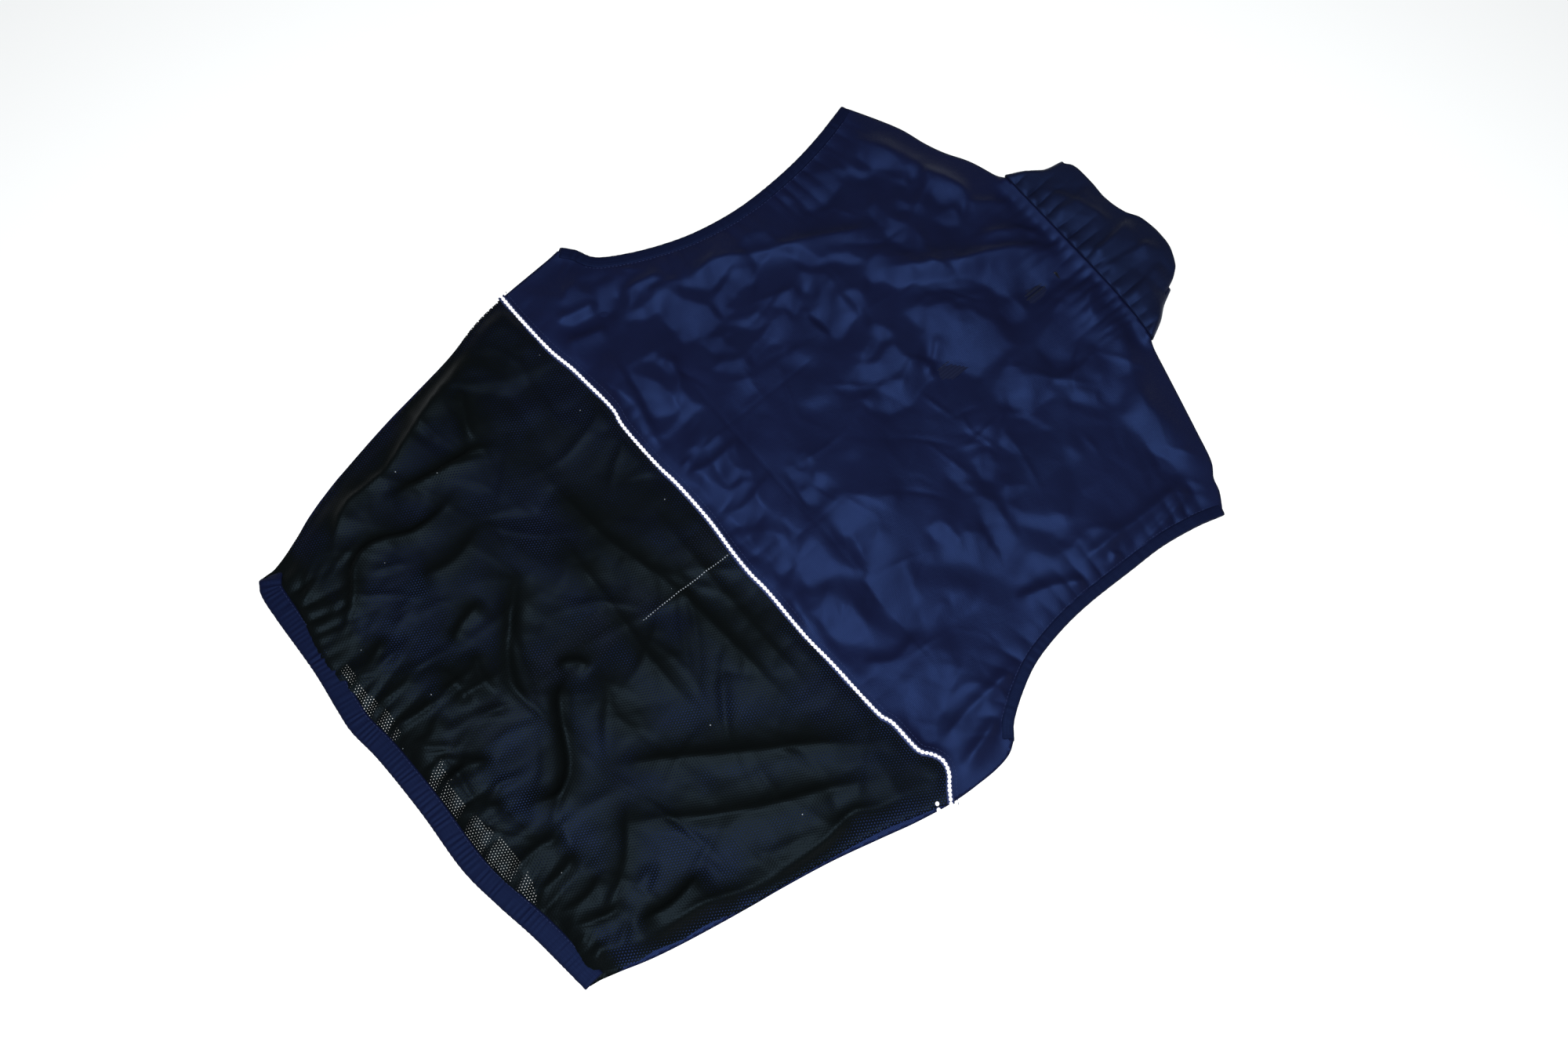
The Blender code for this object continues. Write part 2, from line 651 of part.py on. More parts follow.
def zip_parts():
    """Tapes, coils, stops and the separable bottom end, on the zip's middle plane."""
    bottom, top = Y_FRONT_HEM + ZIP_INSET, Y_FRONT_TOP - COLLAR_CLEARANCE
    coil_low, coil_high = bottom + PIN_LENGTH, top - 2 * STOP_LENGTH
    coil_in, coil_out = COIL_SPLIT / 2, COIL_SPLIT / 2 + COIL_WIDTH
    tall = (ZIP_LEVEL - COIL_THICKNESS / 2, ZIP_LEVEL + COIL_THICKNESS / 2)
    flat = (ZIP_LEVEL - CLOTH / 2, ZIP_LEVEL + CLOTH / 2)
    slot_z = (flat[0] - CLEAR, flat[1] + CLEAR)
    stop_y = (coil_high + CLEAR, coil_high + CLEAR + STOP_LENGTH)
    stop_z = (tall[0] - STOP_RISE, tall[1] + STOP_RISE)
    slot_y = (stop_y[0] - CUT_PAST, stop_y[1] + CUT_PAST)
    for side, sign in (("left", -1), ("right", 1)):
        tape_x = sorted((sign * TAPE_INNER, sign * TAPE_OUTER))
        coil_x = sorted((sign * coil_in, sign * coil_out))
        block(f"zip_tape_{side}", tape_x, (bottom, top), flat, "zip_tape")
        block(f"zip_coil_{side}", coil_x, (coil_low + CLEAR, coil_high), tall, "zip_coil")
        stop_x = sorted((sign * coil_in, sign * (TAPE_INNER + STOP_GRIP)))
        stop = block(f"zip_top_stop_{side}", stop_x, stop_y, stop_z, "zip_metal")
        slot_x = sorted((sign * (TAPE_INNER - CLEAR), sign * TAPE_OUTER))
        combine(stop, block(f"stop_slot_{side}", slot_x, slot_y, slot_z), "DIFFERENCE")
    pin_z = (ZIP_LEVEL - PIN_THICKNESS / 2, ZIP_LEVEL + PIN_THICKNESS / 2)
    pin_start = bottom + ZIP_INSET
    block("zip_insertion_pin", (PIN_INNER, PIN_OUTER), (pin_start, coil_low), pin_z, "zip_metal")
    box_end = bottom + BOX_LENGTH
    box = block("zip_retainer_box", (-coil_out, coil_out), (bottom, box_end), tall, "zip_metal")
    pocket_x = (PIN_INNER - CLEAR, PIN_OUTER + CLEAR)
    pocket_y = (pin_start - CLEAR, box_end + CUT_PAST)
    pocket_z = (pin_z[0] - CLEAR, pin_z[1] + CLEAR)
    combine(box, block("pin_pocket", pocket_x, pocket_y, pocket_z), "DIFFERENCE")
    stub_y = (box_end - CUT_PAST, coil_low)
    combine(box, block("fixed_pin", (-PIN_OUTER, -PIN_INNER), stub_y, pin_z), "UNION")
    return coil_high


def slider_body(top):
    """Two wings joined by the divider, with side flanges and the bail that holds the pull."""
    low, half = top - SLIDER_LENGTH, SLIDER_HALF_WIDTH
    inner = ZIP_LEVEL + COIL_THICKNESS / 2 + CLEAR
    outer = ZIP_LEVEL - COIL_THICKNESS / 2 - CLEAR
    body = block("zip_slider", (-half, half), (low, top), (outer - WING, outer), "zip_metal")
    joins = [("inner_wing", (-half, half), (low, top), (inner, inner + WING))]
    thin = COIL_SPLIT / 2 - CLEAR
    joins.append(("divider", (-thin, thin), (top - DIVIDER_LENGTH, top), (outer - WELD, inner + WELD)))
    gap = CLOTH / 2 + CLEAR
    for side, sign in (("left", -1), ("right", 1)):
        x = sorted((sign * (half - FLANGE_WALL), sign * half))
        joins.append((f"outer_flange_{side}", x, (low, top), (outer - WELD, ZIP_LEVEL - gap)))
        joins.append((f"inner_flange_{side}", x, (low, top), (ZIP_LEVEL + gap, inner + WELD)))
    hinge_y, floor = top - SLIDER_LENGTH / 2, CLEAR
    bail_x = (-BAIL_HALF_WIDTH, BAIL_HALF_WIDTH)
    for name, sign in (("lower", -1), ("upper", 1)):
        y = sorted((hinge_y + sign * BAIL_INNER, hinge_y + sign * BAIL_OUTER))
        joins.append((f"bail_post_{name}", bail_x, y, (floor, outer - WING + WELD)))
    joins.append(("bail_bar", bail_x, (hinge_y - BAIL_OUTER, hinge_y + BAIL_OUTER), (floor, floor + BAIL_BAR)))
    for name, x, y, z in joins:
        combine(body, block(name, x, y, z), "UNION")
    return hinge_y


def pull_tab(hinge_y):
    """A flat tab whose eye bar lies in the bail; its origin is on the hinge axis."""
    axis_z = CLEAR + BAIL_BAR + BAIL_ROOM / 2
    z = (axis_z - PULL_THICKNESS / 2, axis_z + PULL_THICKNESS / 2)
    through = (z[0] - CUT_PAST, z[1] + CUT_PAST)
    free_end = hinge_y - PULL_LENGTH
    tab = block("zip_pull", (-PULL_HALF_WIDTH, PULL_HALF_WIDTH), (free_end, hinge_y + EYE_BAR), z, "zip_metal")
    eye_y = (hinge_y - EYE_END, hinge_y - EYE_BAR)
    combine(tab, block("bail_slot", (-EYE_HALF_WIDTH, EYE_HALF_WIDTH), eye_y, through), "DIFFERENCE")
    grip_y = (free_end + GRIP_START, free_end + GRIP_END)
    combine(tab, block("grip_slot", (-GRIP_HALF_WIDTH, GRIP_HALF_WIDTH), grip_y, through), "DIFFERENCE")
    axis = Vector((0, hinge_y, axis_z)) * MM
    for v in tab.data.vertices:
        v.co -= axis
    tab.location = axis


def main():
    for old in list(bpy.data.objects):
        bpy.data.objects.remove(old)
    upper_back_panel()
    lower_back_mesh()
    front_panel("left_front_panel", flip=True)
    front_panel("right_front_panel", flip=False)
    armholes()
    hem()
    piping()
    collar_layer("collar_outer", COLLAR_LAYER_OFFSET, "navy_taffeta")
    collar_layer("collar_lining", -COLLAR_LAYER_OFFSET, "navy_taffeta")
    coil_top = zip_parts()
    hinge_y = slider_body(coil_top)
    pull_tab(hinge_y)


main()
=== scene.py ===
# %% [markdown]
# # A sleeveless cycling wind vest, lying on its front
#
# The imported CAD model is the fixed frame: it gives the places of the panels, the bands and the zip.
# This notebook builds the cloth that is seen around it. Lengths are written in millimetres, because
# that is what a pattern cutter uses, and MM turns them into Blender's metres.

# %% Load the frame
import math

import bmesh
import bpy
import numpy as np
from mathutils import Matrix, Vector
from mathutils.bvhtree import BVHTree
from mathutils.geometry import delaunay_2d_cdt


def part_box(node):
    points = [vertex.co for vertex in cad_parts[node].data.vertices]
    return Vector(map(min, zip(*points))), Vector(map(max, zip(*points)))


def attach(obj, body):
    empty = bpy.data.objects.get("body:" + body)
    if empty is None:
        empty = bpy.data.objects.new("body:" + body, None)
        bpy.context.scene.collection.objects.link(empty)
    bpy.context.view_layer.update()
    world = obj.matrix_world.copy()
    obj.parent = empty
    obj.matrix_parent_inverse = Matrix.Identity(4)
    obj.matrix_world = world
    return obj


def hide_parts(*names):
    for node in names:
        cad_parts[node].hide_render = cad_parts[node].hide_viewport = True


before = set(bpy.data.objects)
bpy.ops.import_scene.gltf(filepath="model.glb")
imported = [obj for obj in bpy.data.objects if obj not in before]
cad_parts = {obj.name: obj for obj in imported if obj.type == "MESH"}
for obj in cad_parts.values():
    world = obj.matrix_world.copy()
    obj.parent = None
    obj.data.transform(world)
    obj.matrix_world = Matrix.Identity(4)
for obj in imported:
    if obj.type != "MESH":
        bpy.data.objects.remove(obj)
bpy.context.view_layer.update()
MM = 0.001
scene = bpy.context.scene

# %% [markdown]
# ## Camera, floor and light
#
# A product shot like this is taken from above with a flash next to the lens. So the camera looks down at
# 72 degrees, the only lamp hangs close behind it, and a pale sky fills the shadows. Standard colour
# management keeps white paper white, where the film-like one would grey it.

# %% Camera
CAMERA_TARGET = Vector((19.9, -14.7, 0.0)) * MM
CAMERA_AZIMUTH = math.radians(50.35)
CAMERA_ELEVATION = math.radians(72)
CAMERA_DISTANCE = 1.6396
camera_back = Vector((
    math.sin(CAMERA_AZIMUTH) * math.cos(CAMERA_ELEVATION),
    -math.cos(CAMERA_AZIMUTH) * math.cos(CAMERA_ELEVATION),
    math.sin(CAMERA_ELEVATION),
))
camera = bpy.data.objects.new("camera", bpy.data.cameras.new("camera"))
scene.collection.objects.link(camera)
camera.data.lens = 50
camera.data.sensor_width = 36
camera.location = CAMERA_TARGET + camera_back * CAMERA_DISTANCE
camera.rotation_mode = "QUATERNION"
camera.rotation_quaternion = (-camera_back).to_track_quat("-Z", "Y")
scene.camera = camera
scene.view_settings.view_transform = "Standard"
print("camera at", [round(v, 3) for v in camera.location])


# %% Helpers for materials
def srgb(code):
    """The linear colour, with alpha 1, of an sRGB hex code such as '#1a2243'."""
    parts = [int(code[i : i + 2], 16) / 255 for i in (1, 3, 5)]
    return (*[p / 12.92 if p <= 0.04045 else ((p + 0.055) / 1.055) ** 2.4 for p in parts], 1.0)


def add(tree, kind, inputs=None, **settings):
    """Adds a node. Settings are its properties. Inputs name its sockets, each with a value or an output."""
    node = tree.nodes.new(kind)
    for key, value in settings.items():
        setattr(node, key, value)
    for key, value in (inputs or {}).items():
        if isinstance(value, bpy.types.NodeSocket):
            tree.links.new(value, node.inputs[key])
        else:
            node.inputs[key].default_value = value
    return node


def new_material(name, **sockets):
    """A Principled material whose constants are set on the shader's own sockets."""
    material = bpy.data.materials.new(name)
    material.use_nodes = True
    shader = material.node_tree.nodes["Principled BSDF"]
    for key, value in sockets.items():
        shader.inputs[key.replace("_", " ")].default_value = value
    return material, material.node_tree, shader


def blend(tree, shader, factor, low, high):
    """Colours the shader between two hex codes, by a factor from 0 to 1."""
    shade = add(tree, "ShaderNodeMix", {"Factor": factor}, data_type="RGBA")
    shade.inputs["A"].default_value = srgb(low)
    shade.inputs["B"].default_value = srgb(high)
    tree.links.new(shade.outputs["Result"], shader.inputs["Base Color"])


def bumped(tree, shader, height, depth):
    """Gives the shader a relief of this depth in millimetres."""
    relief = add(tree, "ShaderNodeBump", {"Height": height, "Distance": depth * MM, "Strength": 1.0})
    tree.links.new(relief.outputs["Normal"], shader.inputs["Normal"])


# %% Helpers for meshes
def build(name, points, faces=(), edges=(), places=None):
    """A new object from points in millimetres. Places are its flat ones, kept as a UV map in metres."""
    mesh = bpy.data.meshes.new(name)
    mesh.from_pydata((np.asarray(points) * MM).tolist(), edges, faces)
    if places is not None:
        corners = np.zeros(len(mesh.loops), int)
        mesh.loops.foreach_get("vertex_index", corners)
        mesh.uv_layers.new(name="cut").data.foreach_set("uv", (places[corners] * MM).ravel())
    made = bpy.data.objects.new(name, mesh)
    scene.collection.objects.link(made)
    return made


def grid_faces(columns, rows):
    """Four-cornered faces between the points of a grid, listed column after column."""
    return [(i * rows + k, (i + 1) * rows + k, (i + 1) * rows + k + 1, i * rows + k + 1)
            for i in range(columns - 1) for k in range(rows - 1)]


# %% Floor and light
FLOOR_CORNER = 4000.0
LAMP_BEHIND_LENS = 0.06
square = np.array([(-1, -1, 0), (1, -1, 0), (1, 1, 0), (-1, 1, 0)])
floor = build("floor", square * FLOOR_CORNER, [(0, 1, 2, 3)])
floor_material, _, _ = new_material(
    "studio_paper_white", Base_Color=srgb("#eceeee"), Roughness=0.9, Emission_Color=srgb("#ffffff"),
    Emission_Strength=0.12,
)
floor.data.materials.append(floor_material)
flash = bpy.data.lights.new("flash_beside_lens", "AREA")
flash.shape, flash.size, flash.energy = "DISK", 0.16, 38
lamp = bpy.data.objects.new("flash_beside_lens", flash)
scene.collection.objects.link(lamp)
lamp.location = camera.location + camera_back * LAMP_BEHIND_LENS
lamp.rotation_mode = "QUATERNION"
lamp.rotation_quaternion = camera.rotation_quaternion
world = bpy.data.worlds.new("pale_sky")
world.use_nodes = True
world.node_tree.nodes["Background"].inputs["Color"].default_value = srgb("#f4f6fa")
world.node_tree.nodes["Background"].inputs["Strength"].default_value = 0.2
scene.world = world
print("floor", FLOOR_CORNER * 2 * MM, "m wide, lamp of", flash.energy, "W")

# %% [markdown]
# ## The outline
#
# A vest that someone has laid down by hand isn't symmetric, so each edge is its own smooth curve through a
# few chosen points, in millimetres. The middle of the zip is x = 0, and the hem is at low y. A Catmull-Rom
# curve passes through its points, which makes an edge easy to place.


# %% Curves
def unit(v):
    return v / np.maximum(np.linalg.norm(v, axis=-1, keepdims=True), 1e-12)


def travelled(line):
    """How far along a polyline each of its points lies."""
    return np.concatenate([[0], np.cumsum(np.linalg.norm(np.diff(line, axis=0), axis=1))])


def resampled(line, step=1.0, count=None):
    """The polyline again, with points about one step apart or with this many points, ends kept."""
    along = travelled(line)
    at = np.linspace(0, along[-1], count or max(2, round(along[-1] / step) + 1))
    return np.stack([np.interp(at, along, line[:, k]) for k in range(line.shape[1])], axis=1)


def curve(points, step=4.0):
    """A smooth curve through the points, resampled evenly."""
    p = np.array(points, float)
    p = np.vstack([2 * p[0] - p[1], p, 2 * p[-1] - p[-2]])
    t = np.linspace(0, 1, 12, endpoint=False)[:, None]
    parts = []
    for a, b, c, d in zip(p, p[1:], p[2:], p[3:]):
        square, cube = 2 * a - 5 * b + 4 * c - d, 3 * b - a - 3 * c + d
        parts.append(0.5 * (2 * b + (c - a) * t + square * t**2 + cube * t**3))
    return resampled(np.vstack([*parts, p[-2:-1]]), step)


left_armhole = curve([(-264, -5), (-255, 2), (-240, 10), (-225, 35), (-213, 64), (-206, 90), (-202, 120),
                      (-202, 150), (-205, 183), (-211, 214), (-219, 242)])
right_armhole = curve([(255, 8), (245, 17), (232, 38), (222, 61), (216, 91), (214, 121), (215, 161),
                       (216, 191), (221, 221), (227, 242)])
left_side = curve([(-192, -336), (-197, -319), (-207, -294), (-217, -264), (-225, -236), (-231, -206),
                   (-237, -172), (-246, -130), (-256, -97), (-260, -70), (-262, -40), (-264, -5)])
right_side = curve([(198, -334), (204, -314), (211, -292), (218, -262), (226, -220), (230, -190),
                    (237, -150), (245, -110), (253, -84), (261, -55), (264, -26), (262, -4), (255, 8)])
left_shoulder = curve([(-219, 242), (-205, 251), (-175, 266), (-152, 273), (-135, 280), (-115, 291),
                       (-84, 301)])
right_shoulder = curve([(227, 242), (212, 253), (201, 257), (190, 265), (165, 273), (125, 285), (84, 297)])
neck = curve([(-84, 301), (-60, 301.5), (-20, 301.5), (20, 301.5), (60, 300.5), (84, 297)])
piping_line = curve([(-262, -67), (-235, -67.5), (-205, -66.5), (-192, -65), (-178, -62.5), (-160, -61),
                     (-131, -59), (-115, -61.5), (-75, -61), (-52, -59), (-17, -58.5), (15, -61),
                     (37, -61.5), (57, -60), (100, -60.5), (130, -58.5), (178, -57), (190, -53.5),
                     (217, -52), (226, -46), (235, -43), (244, -45.5), (252, -52), (262, -59)])
back_hem = curve([(-192, -346), (-182, -351), (-160, -353), (-110, -355), (-75, -359), (-55, -360.5),
                  (-25, -357.5), (25, -357), (75, -359), (110, -355), (145, -349), (175, -345.5),
                  (198, -343)])
print("chest", round(right_side[:, 0].max() - left_side[:, 0].min()), "mm")

# %% [markdown]
# ## Flat cloth
#
# Cloth behaves the same in each direction only if its mesh does, so a panel is filled with points on a
# hexagonal lattice and triangulated. A square lattice would fold along its own diagonals. The flat places
# are kept as the UV map, in metres, so that every weave keeps its scale and runs with the cut, however the
# cloth folds.


# %% Panels from outlines
RIM_GAP = 0.55  # no lattice point stands nearer to the outline than this share of the spacing


def inside(points, ring):
    """Which of the plan points lie within a closed outline."""
    found = np.zeros(len(points), bool)
    for a, b in zip(ring, np.roll(ring, -1, axis=0)):
        if a[1] != b[1]:
            crosses = (a[1] > points[:, 1]) != (b[1] > points[:, 1])
            found ^= crosses & (points[:, 0] < a[0] + (points[:, 1] - a[1]) * (b[0] - a[0]) / (b[1] - a[1]))
    return found


def nearest(points, line):
    """For each plan point: signed distance to a polyline (left is positive) and place along it, 0 to 1."""
    a, along = line[:-1], np.diff(line, axis=0)
    lengths = np.linalg.norm(along, axis=1)
    start = np.concatenate([[0], np.cumsum(lengths)])
    distance = np.full(len(points), 1e9)
    side, place = np.ones(len(points)), np.zeros(len(points))
    for k in range(len(a)):
        offset = points - a[k]
        t = np.clip(offset @ along[k] / lengths[k] ** 2, 0, 1)
        d = np.linalg.norm(offset - t[:, None] * along[k], axis=1)
        closer = d < distance
        distance[closer] = d[closer]
        side[closer] = np.sign(along[k][0] * offset[closer, 1] - along[k][1] * offset[closer, 0])
        place[closer] = (start[k] + t[closer] * lengths[k]) / start[-1]
    return distance * np.where(side == 0, 1, side), place


def flat_panel(name, ring, spacing):
    """A flat mesh with this outline, filled with a hexagonal lattice of points."""
    ring = resampled(np.vstack([ring, ring[:1]]), spacing)[:-1]
    low, high = ring.min(0), ring.max(0)
    lattice = []
    for i, y in enumerate(np.arange(low[1], high[1], spacing * math.sqrt(3) / 2)):
        x = np.arange(low[0] + (i % 2) * spacing / 2, high[0], spacing)
        lattice.append(np.column_stack([x, np.full(len(x), y)]))
    lattice = np.vstack(lattice)
    lattice = lattice[inside(lattice, ring)]
    gap, _ = nearest(lattice, np.vstack([ring, ring[:1]]))
    lattice = lattice[np.abs(gap) > spacing * RIM_GAP]
    points = [Vector(p) for p in np.vstack([ring, lattice])]
    flat, _, faces, *_ = delaunay_2d_cdt(points, [], [list(range(len(ring)))], 1, 1e-4)
    flat = np.array([(p.x, p.y, 0) for p in flat])
    return build(name, flat, faces, places=flat[:, :2])


def plan_of(obj):
    """Where a flat panel's points lie, in millimetres."""
    co = np.zeros(len(obj.data.vertices) * 3)
    obj.data.vertices.foreach_get("co", co)
    return co.reshape(-1, 3)[:, :2] / MM


def set_heights(obj, plan, z):
    """Lifts each point to its height and says how the panel came out."""
    obj.data.vertices.foreach_set("co", (np.column_stack([plan, z]) * MM).ravel())
    obj.data.update()
    print(obj.name + ":", len(z), "points, height", z.min().round(1), "to", z.max().round(1), "mm")


# %% [markdown]
# ## Folds
#
# Every fold is one of a few forms, added to the height of the sheet:
#
# - a ridge follows a curve, rises on one side faster than on the other, and fades at its ends;
# - gathers are many small ridges square to a seam, which die away from it;
# - facets are the flat, crisp-edged planes of stiff taffeta: random heights at scattered places, joined by
#   triangles;
# - satin slopes lean towards the lamp inside chosen patches and away from it elsewhere, which is what makes
#   one part of a taffeta shine and the next one dark;
# - scattered folds are short, bent and random, for the restless small relief between the large folds;
# - a crease is a thin, sharp line where the vest was folded in its packet.
#
# Placing the main folds one by one makes this vest the one that it is. A cloth simulation would end in some
# other, equally likely set of folds, so these shapes are drawn as heights above the floor.


# %% Fold forms
def ease(t):
    t = np.clip(t, 0, 1)
    return t * t * (3 - 2 * t)


def ridge(points, path, height, left, right, fade=0.25, power=1.6):
    """A ridge along a path, with its width to the left and to the right of it in millimetres."""
    distance, place = nearest(points, curve(path, 6.0))
    width = np.where(distance > 0, left, right)
    ends = ease(np.minimum(place, 1 - place) / fade + 0.02)
    return height * ends * np.exp(-np.abs(distance / width) ** power)


def value_noise(along, size, seed):
    """Smooth random values from -1 to 1 along a line, in a coarse and a fine layer."""
    total = np.zeros(len(along))
    for k in range(2):
        cell = along / size * 2**k
        count = int(np.ceil(cell.max())) + 3
        knots = np.random.default_rng(seed + 31 * k).uniform(-1, 1, count)
        i = np.floor(cell).astype(int)
        f = ease(cell - i)
        total += (knots[i] * (1 - f) + knots[i + 1] * f) / 2**k
    return total / 1.5


def gathers(points, line, height, wavelength, reach, seed, side=1):
    """Small ridges square to a seam, uneven in size and length, fading with distance from it."""
    distance, place = nearest(points, line)
    distance = distance * side
    along = place * travelled(line)[-1]
    phase = along / wavelength * 2 * math.pi + 3.0 * value_noise(along, 3.5 * wavelength, seed)
    phase = phase + 0.35 * value_noise(along, 6 * wavelength, seed + 5) * distance / wavelength
    size = 0.55 + 0.45 * value_noise(along, 2.3 * wavelength, seed + 9)
    fall = np.exp(-np.maximum(distance, 0) / (reach * (0.5 + 0.7 * size)))
    start = ease(distance / 2.0)
    pleat = 2.2 * np.abs(np.sin(phase / 2)) ** 0.7 - 1.4
    return height * size * pleat * fall * start


def sampled(sheet, at):
    """Reads a grid of heights between its cells, at places given in cells."""
    i = np.clip(at.astype(int), 0, np.array(sheet.shape) - 2)
    f = np.clip(at - i, 0, 1)
    near = sheet[i[:, 0], i[:, 1]] * (1 - f[:, 0]) + sheet[i[:, 0] + 1, i[:, 1]] * f[:, 0]
    far = sheet[i[:, 0], i[:, 1] + 1] * (1 - f[:, 0]) + sheet[i[:, 0] + 1, i[:, 1] + 1] * f[:, 0]
    return near * (1 - f[:, 1]) + far * f[:, 1]


def facets(points, size, height, seed, turn=0.0, stretch=1.0):
    """Flat facets with crisp edges: random heights at scattered places, joined by triangles."""
    c, n = math.cos(turn), math.sin(turn)
    p = (points @ np.array([[c, -n], [n, c]])) / (size * stretch, size)
    low, high = np.floor(p.min(0)) - 2, np.ceil(p.max(0)) + 2
    random = np.random.default_rng(seed)
    lattice = np.stack(np.meshgrid(*(np.arange(a, b) for a, b in zip(low, high))), axis=-1).reshape(-1, 2)
    spots = lattice + random.uniform(-0.42, 0.42, lattice.shape)
    lift = random.uniform(-1, 1, len(lattice))
    _, _, faces, *_ = delaunay_2d_cdt([Vector(q) for q in spots], [], [], 0, 1e-5)
    cell = 1.2 / size
    sheet = np.zeros(np.ceil((high - low) / cell).astype(int) + 1)
    for face in faces:
        corners = (spots[list(face)] - low) / cell
        first = np.maximum(np.floor(corners.min(0)).astype(int), 0)
        last = np.minimum(np.ceil(corners.max(0)).astype(int) + 1, sheet.shape)
        if (last <= first).any():
            continue
        x, y = np.mgrid[first[0]:last[0], first[1]:last[1]]
        sides = np.array([corners[1] - corners[0], corners[2] - corners[0]]).T
        offset = np.stack([x - corners[0][0], y - corners[0][1]]).reshape(2, -1)
        u, v = np.linalg.solve(sides, offset).reshape(2, *x.shape)
        within = (u >= -1e-6) & (v >= -1e-6) & (u + v <= 1 + 1e-6)
        a, b, d = lift[list(face)]
        window = sheet[first[0]:last[0], first[1]:last[1]]
        window[within] = (a + u * (b - a) + v * (d - a))[within]
    return height * sampled(sheet, (p - low) / cell)


LAMP_WAY = np.array([0.77, -0.64])  # from straight above, the lamp hangs this way
CELL = 2.0
SIDEWAYS_COST = 0.12  # how much a slope across that way counts against the heights
MIXING_SIZE = 42  # size of the areas that have crisp or soft slopes
CREASE_WIDTH = 1.3


def satin_slopes(points, patches, lit=20.0, shaded=7.5, edges=(1.0, 4.5), longest=40.0, wobble=5.5, seed=5):
    """Heights whose slope leans towards the lamp inside the patches and away from it outside, in degrees.

    The slopes can't all hold at once on one surface, so the nearest heights are found by least squares. A
    Fourier transform turns that into one division for each wave.
    """
    low, high = np.array([-300.0, -110.0]), np.array([300.0, 350.0])
    x = np.arange(low[0], high[0], CELL)
    y = np.arange(low[1], high[1], CELL)
    grid = np.stack(np.meshgrid(x, y, indexing="ij"), axis=-1)
    cells = grid.reshape(-1, 2)
    shift = np.stack([facets(cells, 17, wobble, seed), facets(cells, 19, wobble, seed + 1)], axis=1)
    wobble = wobble / 2
    shift += np.stack([facets(cells, 7, wobble, seed + 2), facets(cells, 8, wobble, seed + 3)], axis=1)
    leaning = np.zeros(len(cells), bool)
    for patch in patches:
        leaning |= inside(cells + shift, np.array(patch, float))
    leaning ^= facets(cells, 15, 1.0, seed + 4, turn=0.5, stretch=1.5) > 0.5
    slope = np.where(leaning, -math.tan(math.radians(lit)), math.tan(math.radians(shaded)))
    slope = (slope - slope.mean()).reshape(grid.shape[:2])
    kx = 2 * math.pi * np.fft.fftfreq(len(x), CELL)[:, None]
    ky = 2 * math.pi * np.fft.fftfreq(len(y), CELL)[None]
    along = kx * LAMP_WAY[0] + ky * LAMP_WAY[1]
    across = kx * -LAMP_WAY[1] + ky * LAMP_WAY[0]
    wave = -1j * along * np.fft.fft2(slope) / (along**2 + SIDEWAYS_COST * across**2 + longest**-2)
    crisp, soft = (np.real(np.fft.ifft2(wave * np.exp(-0.5 * (kx**2 + ky**2) * edge**2))) for edge in edges)
    share = ease(0.8 + 0.8 * facets(points, MIXING_SIZE, 1.0, seed + 6))
    at = (points - low) / CELL
    return sampled(crisp, at) * share + sampled(soft, at) * (1 - share)


def scattered(points, box, count, seed, lengths, heights, widths, lean=0.0, spread=90.0):
    """Short random folds, a little bent, each steeper on one side."""
    random = np.random.default_rng(seed)
    total = np.zeros(len(points))
    for _ in range(count):
        centre = random.uniform(box[0], box[1])
        angle = math.radians(lean + random.uniform(-spread, spread))
        length, height, width = (random.uniform(*pair) for pair in (lengths, heights, widths))
        bend, skew = random.uniform(-0.006, 0.006), random.uniform(0.4, 1.0)
        offset = points - centre
        near = np.flatnonzero((np.abs(offset) < length * 1.6).all(1))
        u = offset[near] @ (math.cos(angle), math.sin(angle))
        v = offset[near] @ (-math.sin(angle), math.cos(angle)) + bend * u * u
        v = v / np.where(v > 0, width, width * skew)
        total[near] += height * np.exp(-np.abs(v) ** 1.5 - (u / length * 2) ** 2)
    return total


def crease(points, path, depth):
    """A thin, sharp groove along a path."""
    return -ridge(points, path, depth, CREASE_WIDTH, CREASE_WIDTH, fade=0.08, power=1.2)


# %% [markdown]
# ## Navy taffeta
#
# Taffeta is a plain weave of fine, flat nylon threads, pressed smooth by hot rollers, which gives a wind
# vest its papery folds and its satin glint. The eye reads it from broad soft highlights on each facet, a
# cool tint in them, and a grain that is almost too fine to see. Real threads are 0.12 mm apart. Here they are
# drawn 1.1 mm apart, because finer ones wouldn't show. Small creases of 4 to 15 mm are a bump map, and
# everything larger is in the mesh.

# %% Taffeta
THREAD = 1.1 * MM
THREAD_DEPTH = 0.09 * MM
WAVES_PER_UNIT = 20 / (2 * math.pi)  # a wave texture of scale 1 has this many waves in each unit of length


def woven(tree, coordinates):
    """Heights of a plain weave: warp and weft threads cross at right angles, each a soft wave."""
    waves = [
        add(tree, "ShaderNodeTexWave",
            {"Vector": coordinates, "Scale": 1 / THREAD / WAVES_PER_UNIT, "Distortion": 0.4, "Detail": 1.0},
            wave_type="BANDS", bands_direction=direction).outputs["Fac"]
        for direction in ("X", "Y")
    ]
    return add(tree, "ShaderNodeMath", dict(enumerate(waves)), operation="MULTIPLY").outputs[0]


